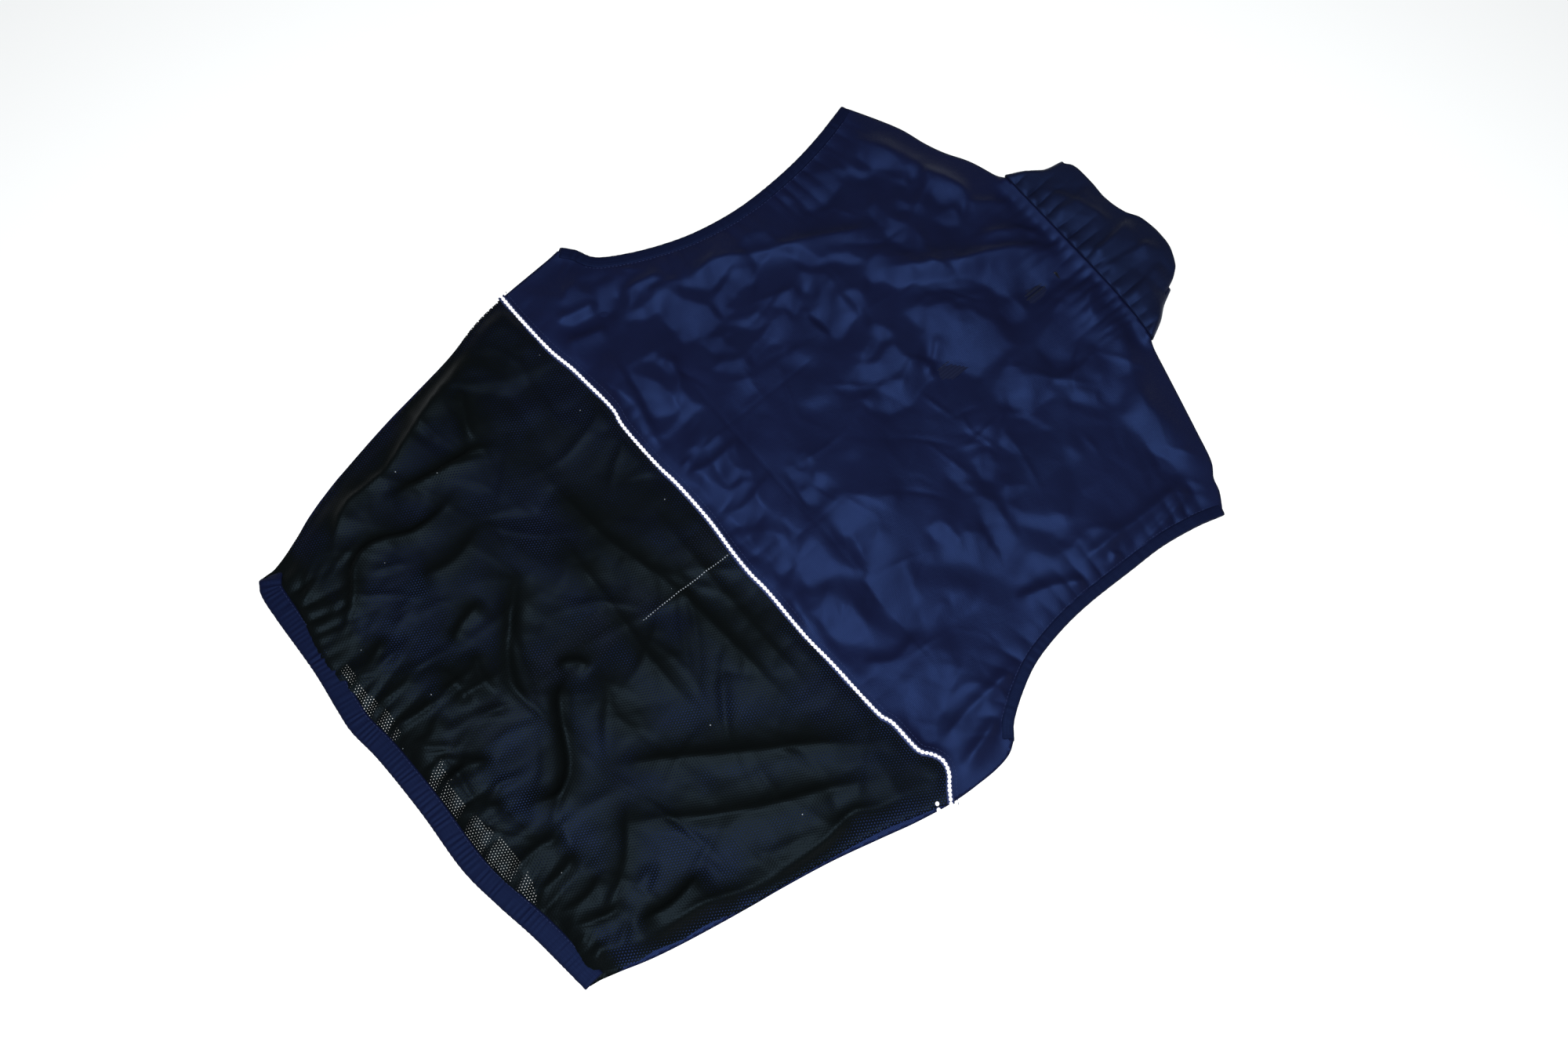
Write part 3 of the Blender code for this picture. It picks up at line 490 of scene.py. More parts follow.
def taffeta(name, dark, light, roughness, shine, crinkle):
    """Its shade wanders between dark and light, and crinkle is the depth of its small creases in mm."""
    material, tree, shader = new_material(
        name, Roughness=roughness, Specular_IOR_Level=shine, Specular_Tint=srgb("#6f9cff"),
    )
    cut = add(tree, "ShaderNodeUVMap", uv_map="cut").outputs["UV"]
    cloudy = add(tree, "ShaderNodeTexNoise", {"Vector": cut, "Scale": 22.0, "Detail": 4.0, "Roughness": 0.6})
    blend(tree, shader, cloudy.outputs["Fac"], dark, light)
    planes = add(tree, "ShaderNodeTexVoronoi",
                 {"Vector": cut, "Scale": 75.0, "Smoothness": 0.35, "Randomness": 1.0}, feature="SMOOTH_F1")
    small = add(tree, "ShaderNodeTexNoise",
                {"Vector": cut, "Scale": 260.0, "Detail": 4.0, "Roughness": 0.7, "Distortion": 0.6})
    both = {0: planes.outputs["Distance"], 1: small.outputs["Fac"]}
    bends = add(tree, "ShaderNodeMath", both, operation="ADD").outputs[0]
    creased = add(tree, "ShaderNodeBump", {"Height": bends, "Distance": crinkle * MM, "Strength": 1.0})
    grain = add(tree, "ShaderNodeBump", {
        "Height": woven(tree, cut), "Distance": THREAD_DEPTH, "Strength": 1.0,
        "Normal": creased.outputs["Normal"],
    })
    tree.links.new(grain.outputs["Normal"], shader.inputs["Normal"])
    return material


navy_taffeta = taffeta("taffeta_woven_navy", "#0a0c20", "#0e102a", 0.52, 0.36, 0.16)
# The bands share the yoke's navy taffeta, drawn darker here: the lower colours are painted shade of the
# gathers.
band_taffeta_shaded = taffeta("taffeta_gathered_navy_painted_shade", "#06081a", "#0b0d23", 0.62, 0.22, 0.16)
collar_taffeta = taffeta("taffeta_collar_navy", "#090b1a", "#0d0f22", 0.56, 0.35, 0.1)
print("taffetas:", navy_taffeta.name, band_taffeta_shaded.name, collar_taffeta.name)

# %% [markdown]
# ## Black mesh
#
# The lower back is a warp-knitted polyester mesh, which lets the heat out. Round holes stand in a honeycomb
# 2.2 mm apart, and the yarn between them is dull. The holes are cut in the material and not in the
# geometry, because there are about 31,000. The distance to the nearest point of two interleaved lattices
# makes a honeycomb with a handful of nodes. Where the cloth bunches into a fold, it lies double and its holes
# close, so less of the front shows through and the fold looks black. The same value also closes holes as
# painted shade, most on each fold's side away from the lamp and just above the hem, so the panel carries
# both as an attribute named bunched_and_shaded. One column of the knit has run, and a few specks of lint
# stick to the yarn.

# %% Mesh fabric
HOLE_PITCH = 2.2 * MM
HOLE_RADIUS = 0.66 * MM
KNIT_DEPTH = 90.0  # for a height in metres, at most 0.0013, so the relief is about 0.1 mm deep
LINT_RADIUS, LINT_SHARE = 0.045, 0.6
RUN_X, RUN_TOP, RUN_END, RUN_HALF_WIDTH = 15 * MM, -62 * MM, -146 * MM, 0.42 * MM
RUNG_SHARE = 0.42


def lattice_distance(tree, coordinates, shift):
    """How far a point is from the nearest point of one rectangular lattice, in metres."""
    cell = (HOLE_PITCH, HOLE_PITCH * math.sqrt(3), 1)
    last = coordinates
    for operation, operand in (
        ("ADD", tuple(c * shift for c in cell)), ("DIVIDE", cell), ("FRACTION", (0, 0, 0)),
        ("SUBTRACT", (0.5, 0.5, 0)), ("MULTIPLY", (*cell[:2], 0)),
    ):
        last = add(tree, "ShaderNodeVectorMath", {0: last, 1: operand}, operation=operation).outputs[0]
    return add(tree, "ShaderNodeVectorMath", {0: last}, operation="LENGTH").outputs["Value"]


black_mesh, tree, shader = new_material(
    "polyester_knit_mesh_black", Roughness=0.5, Specular_IOR_Level=0.09, Specular_Tint=srgb("#a0c2dc"),
)
cut = add(tree, "ShaderNodeUVMap", uv_map="cut").outputs["UV"]
place = add(tree, "ShaderNodeSeparateXYZ", {0: cut}).outputs
specks = add(tree, "ShaderNodeTexVoronoi", {"Vector": cut, "Scale": 95.0, "Randomness": 1.0}, feature="F1")
values = {
    "first": lattice_distance(tree, cut, 0.0),
    "second": lattice_distance(tree, cut, 0.5),
    "bunched_and_shaded": add(tree, "ShaderNodeAttribute", attribute_name="bunched_and_shaded").outputs["Fac"],
    "speck": specks.outputs["Distance"],
    "rare": add(tree, "ShaderNodeTexNoise", {"Vector": cut, "Scale": 70.0, "Detail": 1.0}).outputs["Fac"],
    "x": place["X"],
    "y": place["Y"],
}
# Each row makes one value from one or two others.
for result, operation, *operands in (
    ("to hole", "MINIMUM", "first", "second"),
    # Closing the holes darkens the panel: partly bunched cloth, partly painted shade.
    ("closing", "MULTIPLY", "bunched_and_shaded", -HOLE_RADIUS),
    ("radius", "ADD", "closing", HOLE_RADIUS),
    ("yarn", "GREATER_THAN", "to hole", "radius"),
    ("lint", "LESS_THAN", "speck", LINT_RADIUS),
    ("chosen", "GREATER_THAN", "rare", LINT_SHARE),
    ("stuck", "MULTIPLY", "lint", "chosen"),
    ("aside", "SUBTRACT", "x", RUN_X),
    ("off the run", "ABSOLUTE", "aside"),
    ("in the run", "LESS_THAN", "off the run", RUN_HALF_WIDTH),
    ("below its top", "LESS_THAN", "y", RUN_TOP),
    ("above its end", "GREATER_THAN", "y", RUN_END),
    ("within it", "MULTIPLY", "below its top", "above its end"),
    ("rows", "DIVIDE", "y", HOLE_PITCH),
    ("between rows", "FRACT", "rows"),
    ("rung", "LESS_THAN", "between rows", RUNG_SHARE),
    ("run", "MULTIPLY", "in the run", "within it"),
    ("ladder", "MULTIPLY", "run", "rung"),
    ("pale", "MAXIMUM", "stuck", "ladder"),
):
    operands = {k: values.get(v, v) for k, v in enumerate(operands)}
    values[result] = add(tree, "ShaderNodeMath", operands, operation=operation).outputs[0]
tree.links.new(values["yarn"], shader.inputs["Alpha"])
blend(tree, shader, values["pale"], "#060808", "#828990")
bumped(tree, shader, values["to hole"], KNIT_DEPTH)
print("mesh holes every", round(HOLE_PITCH / MM, 1), "mm")

# %% [markdown]
# ## Trims
#
# The piping is a cord wrapped in reflective film, which throws light straight back at the lamp, so it looks
# brighter than white cloth. A little emission is a painted glow that stands for that, and brighter specks in
# its colour are painted glints. The thread, the zip's coil and its tape are nylon and polyester, and the
# small zip parts are zinc, sprayed black and chipped back to grey in places.

# %% Trim materials
PAINTED_GLINTS_PER_METRE = 900.0
# The film's emission is a painted glow for the light it throws back at the lamp.
reflective_film, tree, shader = new_material(
    "reflective_film_wrapped", Roughness=0.3, Specular_IOR_Level=0.6, Emission_Color=srgb("#f3f1ff"),
    Emission_Strength=0.3,
)
# Painted glints: noise lightens specks of the film's colour.
painted_glints = add(tree, "ShaderNodeTexNoise",
              {"Vector": add(tree, "ShaderNodeTexCoord").outputs["Object"], "Scale": PAINTED_GLINTS_PER_METRE})
blend(tree, shader, painted_glints.outputs["Fac"], "#dcdcec", "#ffffff")


def dyed(name, dark, light, roughness, scale, depth):
    """A dyed nylon or polyester trim whose shade and surface wander at one scale, in waves per metre."""
    material, tree, shader = new_material(
        name, Roughness=roughness, Specular_IOR_Level=0.3, Specular_Tint=srgb("#9ab4ff"),
    )
    space = add(tree, "ShaderNodeTexCoord").outputs["Object"]
    grain = add(tree, "ShaderNodeTexNoise", {"Vector": space, "Scale": scale, "Detail": 3.0}).outputs["Fac"]
    blend(tree, shader, grain, dark, light)
    bumped(tree, shader, grain, depth)
    return material


sewing_thread = dyed("polyester_thread_navy", "#141a31", "#2c365c", 0.55, 2500, 0.03)
zip_coil_nylon = dyed("nylon_coil_moulded_black", "#101114", "#1d1f24", 0.35, 1500, 0.02)
zip_tape_cloth = dyed("polyester_tape_woven_navy", "#080a1a", "#0c0e24", 0.65, 1800, 0.03)
elastic_rubber = dyed("elastic_woven_white", "#c9c9c4", "#e4e4df", 0.7, 1200, 0.1)
zip_metal, tree, shader = new_material("zinc_die_cast_painted_black", Roughness=0.32, Metallic=1.0)
chips = add(tree, "ShaderNodeTexNoise",
            {"Vector": add(tree, "ShaderNodeTexCoord").outputs["Object"], "Scale": 700.0, "Detail": 5.0})
worn = add(tree, "ShaderNodeValToRGB", {"Fac": chips.outputs["Fac"]})
for stop, position, colour in zip(worn.color_ramp.elements, (0.6, 0.72), ("#34363b", "#8e9198")):
    stop.position, stop.color = position, srgb(colour)
tree.links.new(worn.outputs["Color"], shader.inputs["Base Color"])
print("trims ready")


# %% Finishing helpers
def thicken(obj, thickness):
    """Gives a sheet its thickness on the lower side and makes it one plain mesh."""
    solid = obj.modifiers.new("thickness", "SOLIDIFY")
    solid.thickness = thickness * MM
    solid.offset = -1
    plain(obj)


def plain(obj):
    """Applies every modifier, so that the object holds an ordinary mesh."""
    graph = bpy.context.evaluated_depsgraph_get()
    finished = obj.evaluated_get(graph)
    mesh = bpy.data.meshes.new_from_object(finished, preserve_all_data_layers=True, depsgraph=graph)
    old = obj.data
    obj.modifiers.clear()
    obj.data = mesh
    bpy.data.meshes.remove(old)
    mesh.name = obj.name


def dress(obj, material):
    obj.data.materials.clear()
    obj.data.materials.append(material)
    obj.data.shade_smooth()


def cut_area(outline):
    """The area inside a closed outline in square metres."""
    x, y = outline[:, 0] * MM, outline[:, 1] * MM
    return abs(np.dot(x, np.roll(y, -1)) - np.dot(y, np.roll(x, -1))) / 2


def offset_line(line, distance):
    """The plan line moved to its left by a distance."""
    step = unit(np.gradient(line, axis=0))
    return line + np.stack([-step[:, 1], step[:, 0]], axis=1) * distance


def part_of(line, low, high):
    """The stretch of a line whose y lies between two values."""
    return line[(line[:, 1] >= low) & (line[:, 1] <= high)]


def hold(points, z, line, height, reach):
    """Brings the sheet to a seam's height, over a distance from it."""
    distance, _ = nearest(points, line)
    share = np.exp(-((distance / reach) ** 2))
    return z * (1 - share) + height * share


# %% [markdown]
# ## The yoke
#
# The upper back is one piece of taffeta. The long folds were pressed in when it was packed and have sprung
# part of the way back, and they run down from the neck and both shoulders. A steep side and a gentle side
# make them read as cloth that has been pushed over, so each fold takes two widths. Between them come the
# satin patches, facets of 10 to 35 mm, gathers along the armholes and the neck, and three thin packing
# creases. Last, each edge is brought to the height of its seam.

# %% Yoke outline
LOWEST_BACK = 3.4
SIDE_HEIGHT = 3.6
SHOULDER_HEIGHT = 4.2
ARMHOLE_HEIGHT = 5.4
NECK_HEIGHT = 10.6
BINDING = 9.0
TUCK = 0.45 * BINDING  # how far a panel reaches into its binding
HALF_CHEST = 262


def piping_height(x):
    """The piped seam lies low at the sides, high between them, and waves a little."""
    arch = 4.6 * np.clip(1 - (np.abs(x) / HALF_CHEST) ** 6, 0, 1)
    return SIDE_HEIGHT + arch + 0.8 * np.sin(x / 31 + 1.0) + 0.5 * np.sin(x / 13)


yoke_left_edge = offset_line(left_armhole, -TUCK)
yoke_right_edge = offset_line(right_armhole, TUCK)
yoke_outline = np.vstack([
    piping_line,
    part_of(right_side, -58, 8),
    yoke_right_edge,
    right_shoulder[1:],
    neck[::-1][1:],
    left_shoulder[::-1][1:],
    yoke_left_edge[::-1],
    part_of(left_side, -66, -6)[::-1],
])
yoke = flat_panel("yoke_cloth", yoke_outline, 2.05)
print("yoke:", round(cut_area(yoke_outline), 3), "square metres")

# %% Yoke folds
def fold(points, path, height, steep, gentle, fade=0.25, power=1.6):
    """A ridge that is steep on its upper left side and gentle on its lower right side."""
    line = np.array(path, float)
    run = line[-1] - line[0]
    left_is_lit = np.dot((-run[1], run[0]), LAMP_WAY) > 0
    left, right = (gentle, steep) if left_is_lit else (steep, gentle)
    return ridge(points, path, height, left, right, fade, power)


SATIN_PATCHES = [
    [(-55, 218), (-38, 250), (-18, 280), (-12, 300), (10, 300), (2, 262), (-8, 238), (-35, 222)],
    [(16, 272), (28, 296), (58, 292), (70, 262), (58, 236), (34, 224), (24, 246)],
    [(80, 262), (110, 246), (140, 258), (150, 268), (190, 256), (200, 240), (160, 238), (120, 232),
     (86, 240)],
    [(-100, 168), (-84, 198), (-62, 226), (-46, 214), (-60, 190), (-84, 162)],
    [(-48, 160), (-30, 196), (0, 208), (22, 216), (44, 198), (64, 222), (78, 206), (70, 186), (52, 172),
     (24, 174), (0, 156), (-18, 150), (-24, 166)],
    [(-122, 262), (-100, 268), (-80, 254), (-98, 240), (-118, 246)],
    [(-190, 228), (-170, 246), (-140, 246), (-130, 234), (-160, 226)],
    [(56, 142), (80, 134), (112, 122), (150, 108), (180, 96), (170, 82), (134, 92), (100, 104), (68, 116)],
    [(-128, 122), (-104, 136), (-72, 132), (-60, 118), (-84, 110), (-104, 98)],
    [(-42, 134), (-22, 140), (-4, 128), (-22, 108), (-36, 84)],
    [(-184, 92), (-152, 104), (-144, 66), (-120, 46), (-138, 22), (-166, 18), (-186, -4), (-200, 24),
     (-182, 52)],
    [(-116, 98), (-94, 82), (-70, 52), (-60, 24), (-74, 12), (-92, 42), (-108, 72)],
    [(36, 34), (60, 58), (78, 50), (104, 30), (134, 20), (152, 8), (140, -2), (98, 4), (58, 14), (18, 6),
     (-10, 14), (14, 30)],
    [(136, 40), (150, 62), (166, 52), (158, 34)],
    [(-152, -10), (-122, -6), (-94, -18), (-108, -40), (-140, -32)],
    [(-62, -8), (-42, -24), (-18, -14), (10, -20), (42, -12), (54, -46), (10, -54), (-30, -46), (-58, -54)],
    [(84, -22), (110, -14), (136, -26), (118, -48), (90, -44)],
    [(168, 0), (190, 12), (206, -10), (196, -44), (176, -30)],
    [(-224, 4), (-206, 18), (-196, -12), (-212, -44), (-232, -30)],
    [(-196, 208), (-178, 214), (-160, 190), (-168, 158), (-190, 170)],
    [(176, 160), (190, 176), (200, 140), (186, 104), (172, 122)],
    [(-62, 246), (-44, 286), (-30, 300), (-22, 296), (-40, 262)],
    [(64, 258), (72, 286), (100, 276), (92, 248)],
    [(200, -4), (212, 18), (222, 6), (214, -30)],
]


# Each fold: its path, its height, and the widths of its steep and its gentle side.
YOKE_FOLDS = (
    ([(-8, 298), (-36, 262), (-52, 225), (-72, 194), (-94, 164)], 8.0, 9, 15),
    ([(-24, 298), (-50, 270), (-64, 240)], 3.0, 5, 8),
    ([(-118, 206), (-122, 185), (-142, 150), (-157, 115), (-176, 80), (-180, 50)], 4.5, 6, 9),
    ([(-192, 240), (-150, 252), (-112, 264), (-84, 276)], 3.6, 10, 10),
    ([(-135, 262), (-118, 243), (-108, 222)], 3.5, 6, 9),
    ([(-64, 292), (-80, 276), (-92, 258)], 2.6, 5, 8),
    ([(52, 290), (80, 278), (112, 258), (137, 258)], 3.6, 10, 10),
    ([(20, 298), (34, 280), (52, 270)], 2.4, 5, 9),
    ([(190, 250), (190, 180), (186, 120)], 5.0, 7, 8),
    ([(196, 240), (203, 200), (209, 165)], 3.0, 4, 6),
    ([(197, 160), (206, 148)], 2.4, 4, 5),
    ([(203, 132), (188, 105), (176, 75)], 4.2, 6, 9),
    ([(216, 52), (218, 4), (224, -40)], 5.6, 7, 10),
    ([(232, 34), (240, -4), (249, -38)], 4.6, 6, 8),
    ([(-196, 44), (-204, 0)], 3.0, 6, 8),
    ([(-176, 50), (-186, 38), (-188, 20)], 2.0, 4, 6),
    ([(-208, -12), (-216, -48)], 3.0, 5, 7),
    ([(-186, -18), (-196, -56)], 3.0, 5, 8),
    ([(-142, 2), (-120, -4), (-100, -22)], 2.0, 4, 8),
    ([(-172, -34), (-130, -40), (-80, -52)], 2.4, 5, 8),
    ([(-50, 2), (-48, -30), (-54, -56)], 2.2, 4, 7),
    ([(-14, 6), (-6, -30), (-14, -54)], 1.8, 4, 7),
    ([(150, 6), (156, -20), (140, -44)], 2.4, 5, 8),
    ([(-20, 172), (-8, 158), (2, 142)], 1.8, 3, 6),
    ([(-104, 106), (-88, 104), (-70, 108)], 1.6, 3, 6),
    ([(66, 262), (72, 236), (64, 214)], 2.2, 5, 9),
)


def yoke_height(p):
    """Every form of the yoke, added up, and then the seams."""
    inward = np.abs(nearest(p, yoke_outline[len(piping_line):])[0])
    z = 5.6 + 6.4 * (1 - np.exp(-inward / 75))
    z += 1.3 * np.sin(p[:, 0] / 37 + p[:, 1] / 51) + 1.0 * np.sin(p[:, 0] / 61 - p[:, 1] / 33 + 2)
    for path, height, steep, gentle in YOKE_FOLDS:
        z += fold(p, path, height, steep, gentle)
    z += (0.35 + 0.65 * ease(inward / 40)) * satin_slopes(p, SATIN_PATCHES)
    z += facets(p, 24, 0.9, 3, turn=0.5, stretch=1.4)
    z += facets(p, 10, 0.36, 8, turn=-0.4, stretch=1.3)
    z += scattered(p, ((-250, -50), (250, 295)), 150, 15, (14, 42), (-0.9, 1.2), (1.8, 3.6))
    for line, height, wavelength, reach, seed, side in (
        (yoke_left_edge, 2.4, 12, 14, 11, -1), (yoke_right_edge, 2.4, 12, 14, 12, 1),
        (neck, 2.5, 9, 17, 13, -1), (piping_line, 0.9, 14, 12, 14, 1),
    ):
        z += gathers(p, line, height, wavelength, reach, seed, side)
    for line, height, reach in (
        (np.vstack([part_of(left_side, -70, -4), left_armhole[:3]]), SIDE_HEIGHT, 13),
        (np.vstack([part_of(right_side, -60, 8), right_armhole[:3]]), SIDE_HEIGHT, 13),
        (left_shoulder, SHOULDER_HEIGHT + inward / 6, 18), (right_shoulder, SHOULDER_HEIGHT + inward / 6, 18),
        (yoke_left_edge, ARMHOLE_HEIGHT, 7), (yoke_right_edge, ARMHOLE_HEIGHT, 7), (neck, NECK_HEIGHT, 7),
        (piping_line, piping_height(p[:, 0]), 7),
    ):
        z = hold(p, z, line, height, reach)
    for path, depth in (
        ([(-130, 1), (-20, 0), (70, 1), (190, 0)], 0.45), ([(-66, 92), (-65, 20), (-64, -55)], 0.45),
        ([(38, 30), (38, -55)], 0.35),
    ):
        z += crease(p, path, depth)
    return np.maximum(z, LOWEST_BACK)


plan = plan_of(yoke)
set_heights(yoke, plan, yoke_height(plan))

# %% [markdown]
# ## The mesh panel
#
# Knitted mesh is softer than taffeta and folds in rounder, deeper waves. Here it also has too much cloth for
# the gathered hem, so folds start at the hem and run up between the sides. The same fold that lifts the mesh
# also closes its holes, mostly along the fold's steep side, which faces away from the lamp: that is partly
# bunched cloth and partly painted shade. Just above the hem the mesh lies in flat pleats, and light comes
# through only in the windows between them, where the holes are narrowed too, as painted shade on the floor.

# %% Mesh panel
hem_inner = curve([(-192, -338), (-175, -334), (-150, -337), (-125, -343), (-105, -346), (-75, -346),
                   (-55, -342), (-25, -339.5), (25, -339.5), (90, -342), (115, -339), (135, -333),
                   (165, -331), (198, -334)])
mesh_outline = np.vstack([
    hem_inner - (0, 6), part_of(right_side, -333, -62), piping_line[::-1],
    part_of(left_side, -335, -72)[::-1],
])
lower_back = flat_panel("back_mesh_cloth", mesh_outline, 2.5)
WINDOWS = ((-120, -112), (-97, -82), (-80, -56), (-51, -38), (-35, -29), (9, 20), (23, 46), (54, 76),
           (79, 107), (112, 131))
MOST_BUNCHED_AND_SHADED = 0.72
MESH_FOLDS = (
    ([(-150, -132), (-60, -128), (10, -112), (60, -106), (150, -100)], 3.0, 7, 12),
    ([(-90, -152), (0, -157), (60, -160), (100, -155)], 2.6, 7, 12),
    ([(-60, -86), (40, -85), (150, -84)], 2.0, 6, 10),
    ([(200, -70), (170, -103), (145, -140), (118, -180), (95, -215), (80, -240)], 4.5, 8, 11),
    ([(222, -80), (200, -118), (178, -165), (155, -205), (135, -232), (118, -262)], 4.5, 8, 11),
    ([(186, -222), (191, -258), (186, -290)], 6.0, 5, 12),
    ([(242, -60), (232, -100), (222, -120), (225, -150), (220, -200), (205, -240), (200, -275),
      (185, -300)], 4.5, 6, 8),
    ([(12, -200), (14, -215), (24, -230), (45, -242), (66, -254), (78, -270), (74, -285),
      (62, -305)], 6.5, 6, 9),
    ([(0, -218), (6, -203), (20, -196)], 3.5, 4, 8),
    ([(-78, -190), (-55, -212), (-35, -232), (-10, -247), (20, -250)], 5.0, 6, 10),
    ([(-72, -225), (-68, -250), (-60, -268)], 4.0, 5, 9),
    ([(-48, -252), (-30, -262), (-8, -262)], 3.0, 5, 8),
    ([(-160, -142), (-170, -162), (-172, -187), (-180, -225), (-183, -240)], 5.0, 5, 10),
    ([(-220, -138), (-195, -150), (-175, -160)], 3.0, 5, 8),
    ([(-155, -185), (-148, -205), (-147, -235), (-157, -255), (-160, -270), (-153, -285), (-135, -300),
      (-120, -320), (-117, -335)], 6.0, 5, 11),
    ([(-240, -100), (-235, -130), (-225, -160), (-205, -210), (-200, -230), (-198, -260), (-180, -285),
      (-155, -300)], 4.0, 5, 8),
    ([(-60, -285), (-35, -280), (-10, -283)], 3.0, 6, 9),
    ([(-92, -342), (-88, -318), (-100, -296)], 4.0, 6, 8),
    ([(-60, -338), (-58, -310), (-66, -296)], 3.0, 6, 7),
    ([(-38, -338), (-34, -310), (-40, -296)], 3.0, 5, 6),
    ([(-18, -338), (-15, -315), (-20, -298)], 3.0, 5, 6),
    ([(22, -338), (20, -312), (28, -292)], 3.5, 6, 7),
    ([(50, -340), (52, -318), (60, -305)], 3.0, 6, 7),
    ([(102, -340), (98, -310), (105, -285)], 4.0, 6, 8),
    ([(122, -336), (124, -305), (115, -285)], 3.5, 6, 8),
    ([(146, -333), (148, -300), (140, -280)], 4.0, 6, 8),
    ([(156, -331), (168, -300), (165, -280)], 3.5, 6, 8),
    ([(110, -235), (150, -270), (165, -300)], 3.0, 7, 12),
    ([(-120, -190), (-110, -225), (-118, -260)], 3.0, 7, 12),
    ([(20, -190), (60, -205), (90, -190)], 2.0, 8, 14),
)


def mesh_height(p):
    """Heights of the panel, and how closed its holes are from 0 to 1: partly bunched cloth, partly painted
    shade.
    """
    z = np.full(len(p), 9.5)
    bunched_and_shaded = np.zeros(len(p))
    z += 1.2 * np.sin(p[:, 0] / 33 + p[:, 1] / 27) + 0.9 * np.sin(p[:, 0] / 19 - p[:, 1] / 41 + 1)
    for path, height, steep, gentle in MESH_FOLDS:
        z += fold(p, path, 1.25 * height, 0.75 * steep, 1.5 * gentle, fade=0.3, power=1.15)
        # Painted shade: the holes close most on each fold's steep side, which faces away from the lamp.
        bunched_and_shaded += fold(p, path, min(height / 5.5, 0.75), 2.2 * steep, 0.7 * gentle, fade=0.3, power=2.0)
    bunched_and_shaded += 0.12 + facets(p, 30, 0.3, 41, turn=0.3, stretch=1.6) + facets(p, 12, 0.15, 42)
    bunched_and_shaded = np.clip(bunched_and_shaded, 0, MOST_BUNCHED_AND_SHADED)
    lean = p[:, 0] + 0.35 * (p[:, 1] + 340)
    beside = np.min([np.abs(lean - (a + b) / 2) - (b - a) / 2 for a, b in WINDOWS], axis=0)
    near_hem = 1 - ease((p[:, 1] + 322) / 12)
    # Above the hem the holes close between the pleats and stay half closed in the windows, as painted shade
    # on the floor beneath.
    bunched_and_shaded = bunched_and_shaded * (1 - near_hem) + (0.46 + 0.54 * ease(0.5 + beside / 3.0)) * near_hem
    z += facets(p, 34, 2.2, 5, turn=0.6, stretch=1.5)
    z += facets(p, 13, 0.6, 6, turn=-0.3)
    z += scattered(p, ((-240, -330), (240, -70)), 110, 25, (25, 90), (-1.0, 1.9), (2.4, 6.0))
    z += scattered(p, ((-190, -335), (190, -260)), 50, 26, (14, 34), (0.8, 2.4), (3.0, 5.0), 90, 40)
    z += gathers(p, hem_inner, 2.2, 12, 26, 31, side=1)
    z += gathers(p, piping_line[::-1], 0.7, 17, 18, 32, side=1)
    for line, height, reach in (
        (part_of(left_side, -340, -60), SIDE_HEIGHT, 11), (part_of(right_side, -340, -50), SIDE_HEIGHT, 11),
        (hem_inner - (0, 4), 6.4, 6), (piping_line, piping_height(p[:, 0]) - 0.4, 6),
    ):
        z = hold(p, z, line, height, reach)
    return np.maximum(z, LOWEST_BACK), np.clip(bunched_and_shaded, 0, 1)


plan = plan_of(lower_back)
heights, bunched_and_shaded = mesh_height(plan)
set_heights(lower_back, plan, heights)
lower_back.data.attributes.new("bunched_and_shaded", "FLOAT", "POINT").data.foreach_set("value", bunched_and_shaded)

# %% [markdown]
# ## The fronts
#
# The two fronts lie underneath, on the floor, from the side seams to the zip. They show through the holes
# of the mesh, and a sliver of each peeps out beside it. The front hem ends nearer the neck than the back
# hem does, so the light falls on the floor between them.

# %% Front panels
ZIP_EDGE = 6.0
front_hem = curve([(-190, -341), (-150, -342), (-122, -340), (-102, -333), (-76, -334), (-50, -331),
                   (-20, -333), (10, -329), (48, -328), (80, -323), (108, -324), (130, -332), (150, -338),
                   (194, -339)], 2.0)
FLOOR_GAP, HIGHEST_FRONT, ZIP_SEAM_HEIGHT = 0.7, 5.2, 3.7
HEM_LINE = -352


def front_height(p):
    """Low at the outline and higher within it, rising to the zip in the middle."""
    edge = np.minimum(HALF_CHEST - np.abs(p[:, 0]), p[:, 1] - HEM_LINE)
    room = ease(edge / 60) * (1 - ease((p[:, 1] + 20) / 60) * 0.5)
    z = 1.5 + room * (1.6 + facets(p, 48, 2.2, 7, turn=0.7, stretch=1.5) + facets(p, 20, 0.7, 9))
    z += room * scattered(p, ((-240, -330), (240, 60)), 60, 17, (20, 60), (-0.5, 1.2), (3.0, 7.0))
    z = np.clip(z, FLOOR_GAP, HIGHEST_FRONT)
    rise = 1 - ease((np.abs(p[:, 0]) - 14) / 26)
    return z + (ZIP_SEAM_HEIGHT - z) * rise


def front_panel(name, side_line, armhole_line, shoulder_line, way):
    """One front, on the side that way gives: -1 is the left and 1 the right of the zip."""
    neck_line = curve([(way * 84, 300), (way * 62, 266), (way * 34, 243), (way * ZIP_EDGE, 233)])
    hem_line = front_hem[np.sign(front_hem[:, 0]) == way] + (0, 4)
    hem_line = hem_line[np.argsort(np.abs(hem_line[:, 0]))]
    hem_line = hem_line[np.abs(hem_line[:, 0]) > ZIP_EDGE]
    edge = offset_line(armhole_line, way * TUCK)
    ring = np.vstack([neck_line, hem_line, side_line[1:-1], edge, shoulder_line[1:-1]])
    made = flat_panel(name, ring, 3.0)
    plan = plan_of(made)
    set_heights(made, plan, front_height(plan))
    return made, ring


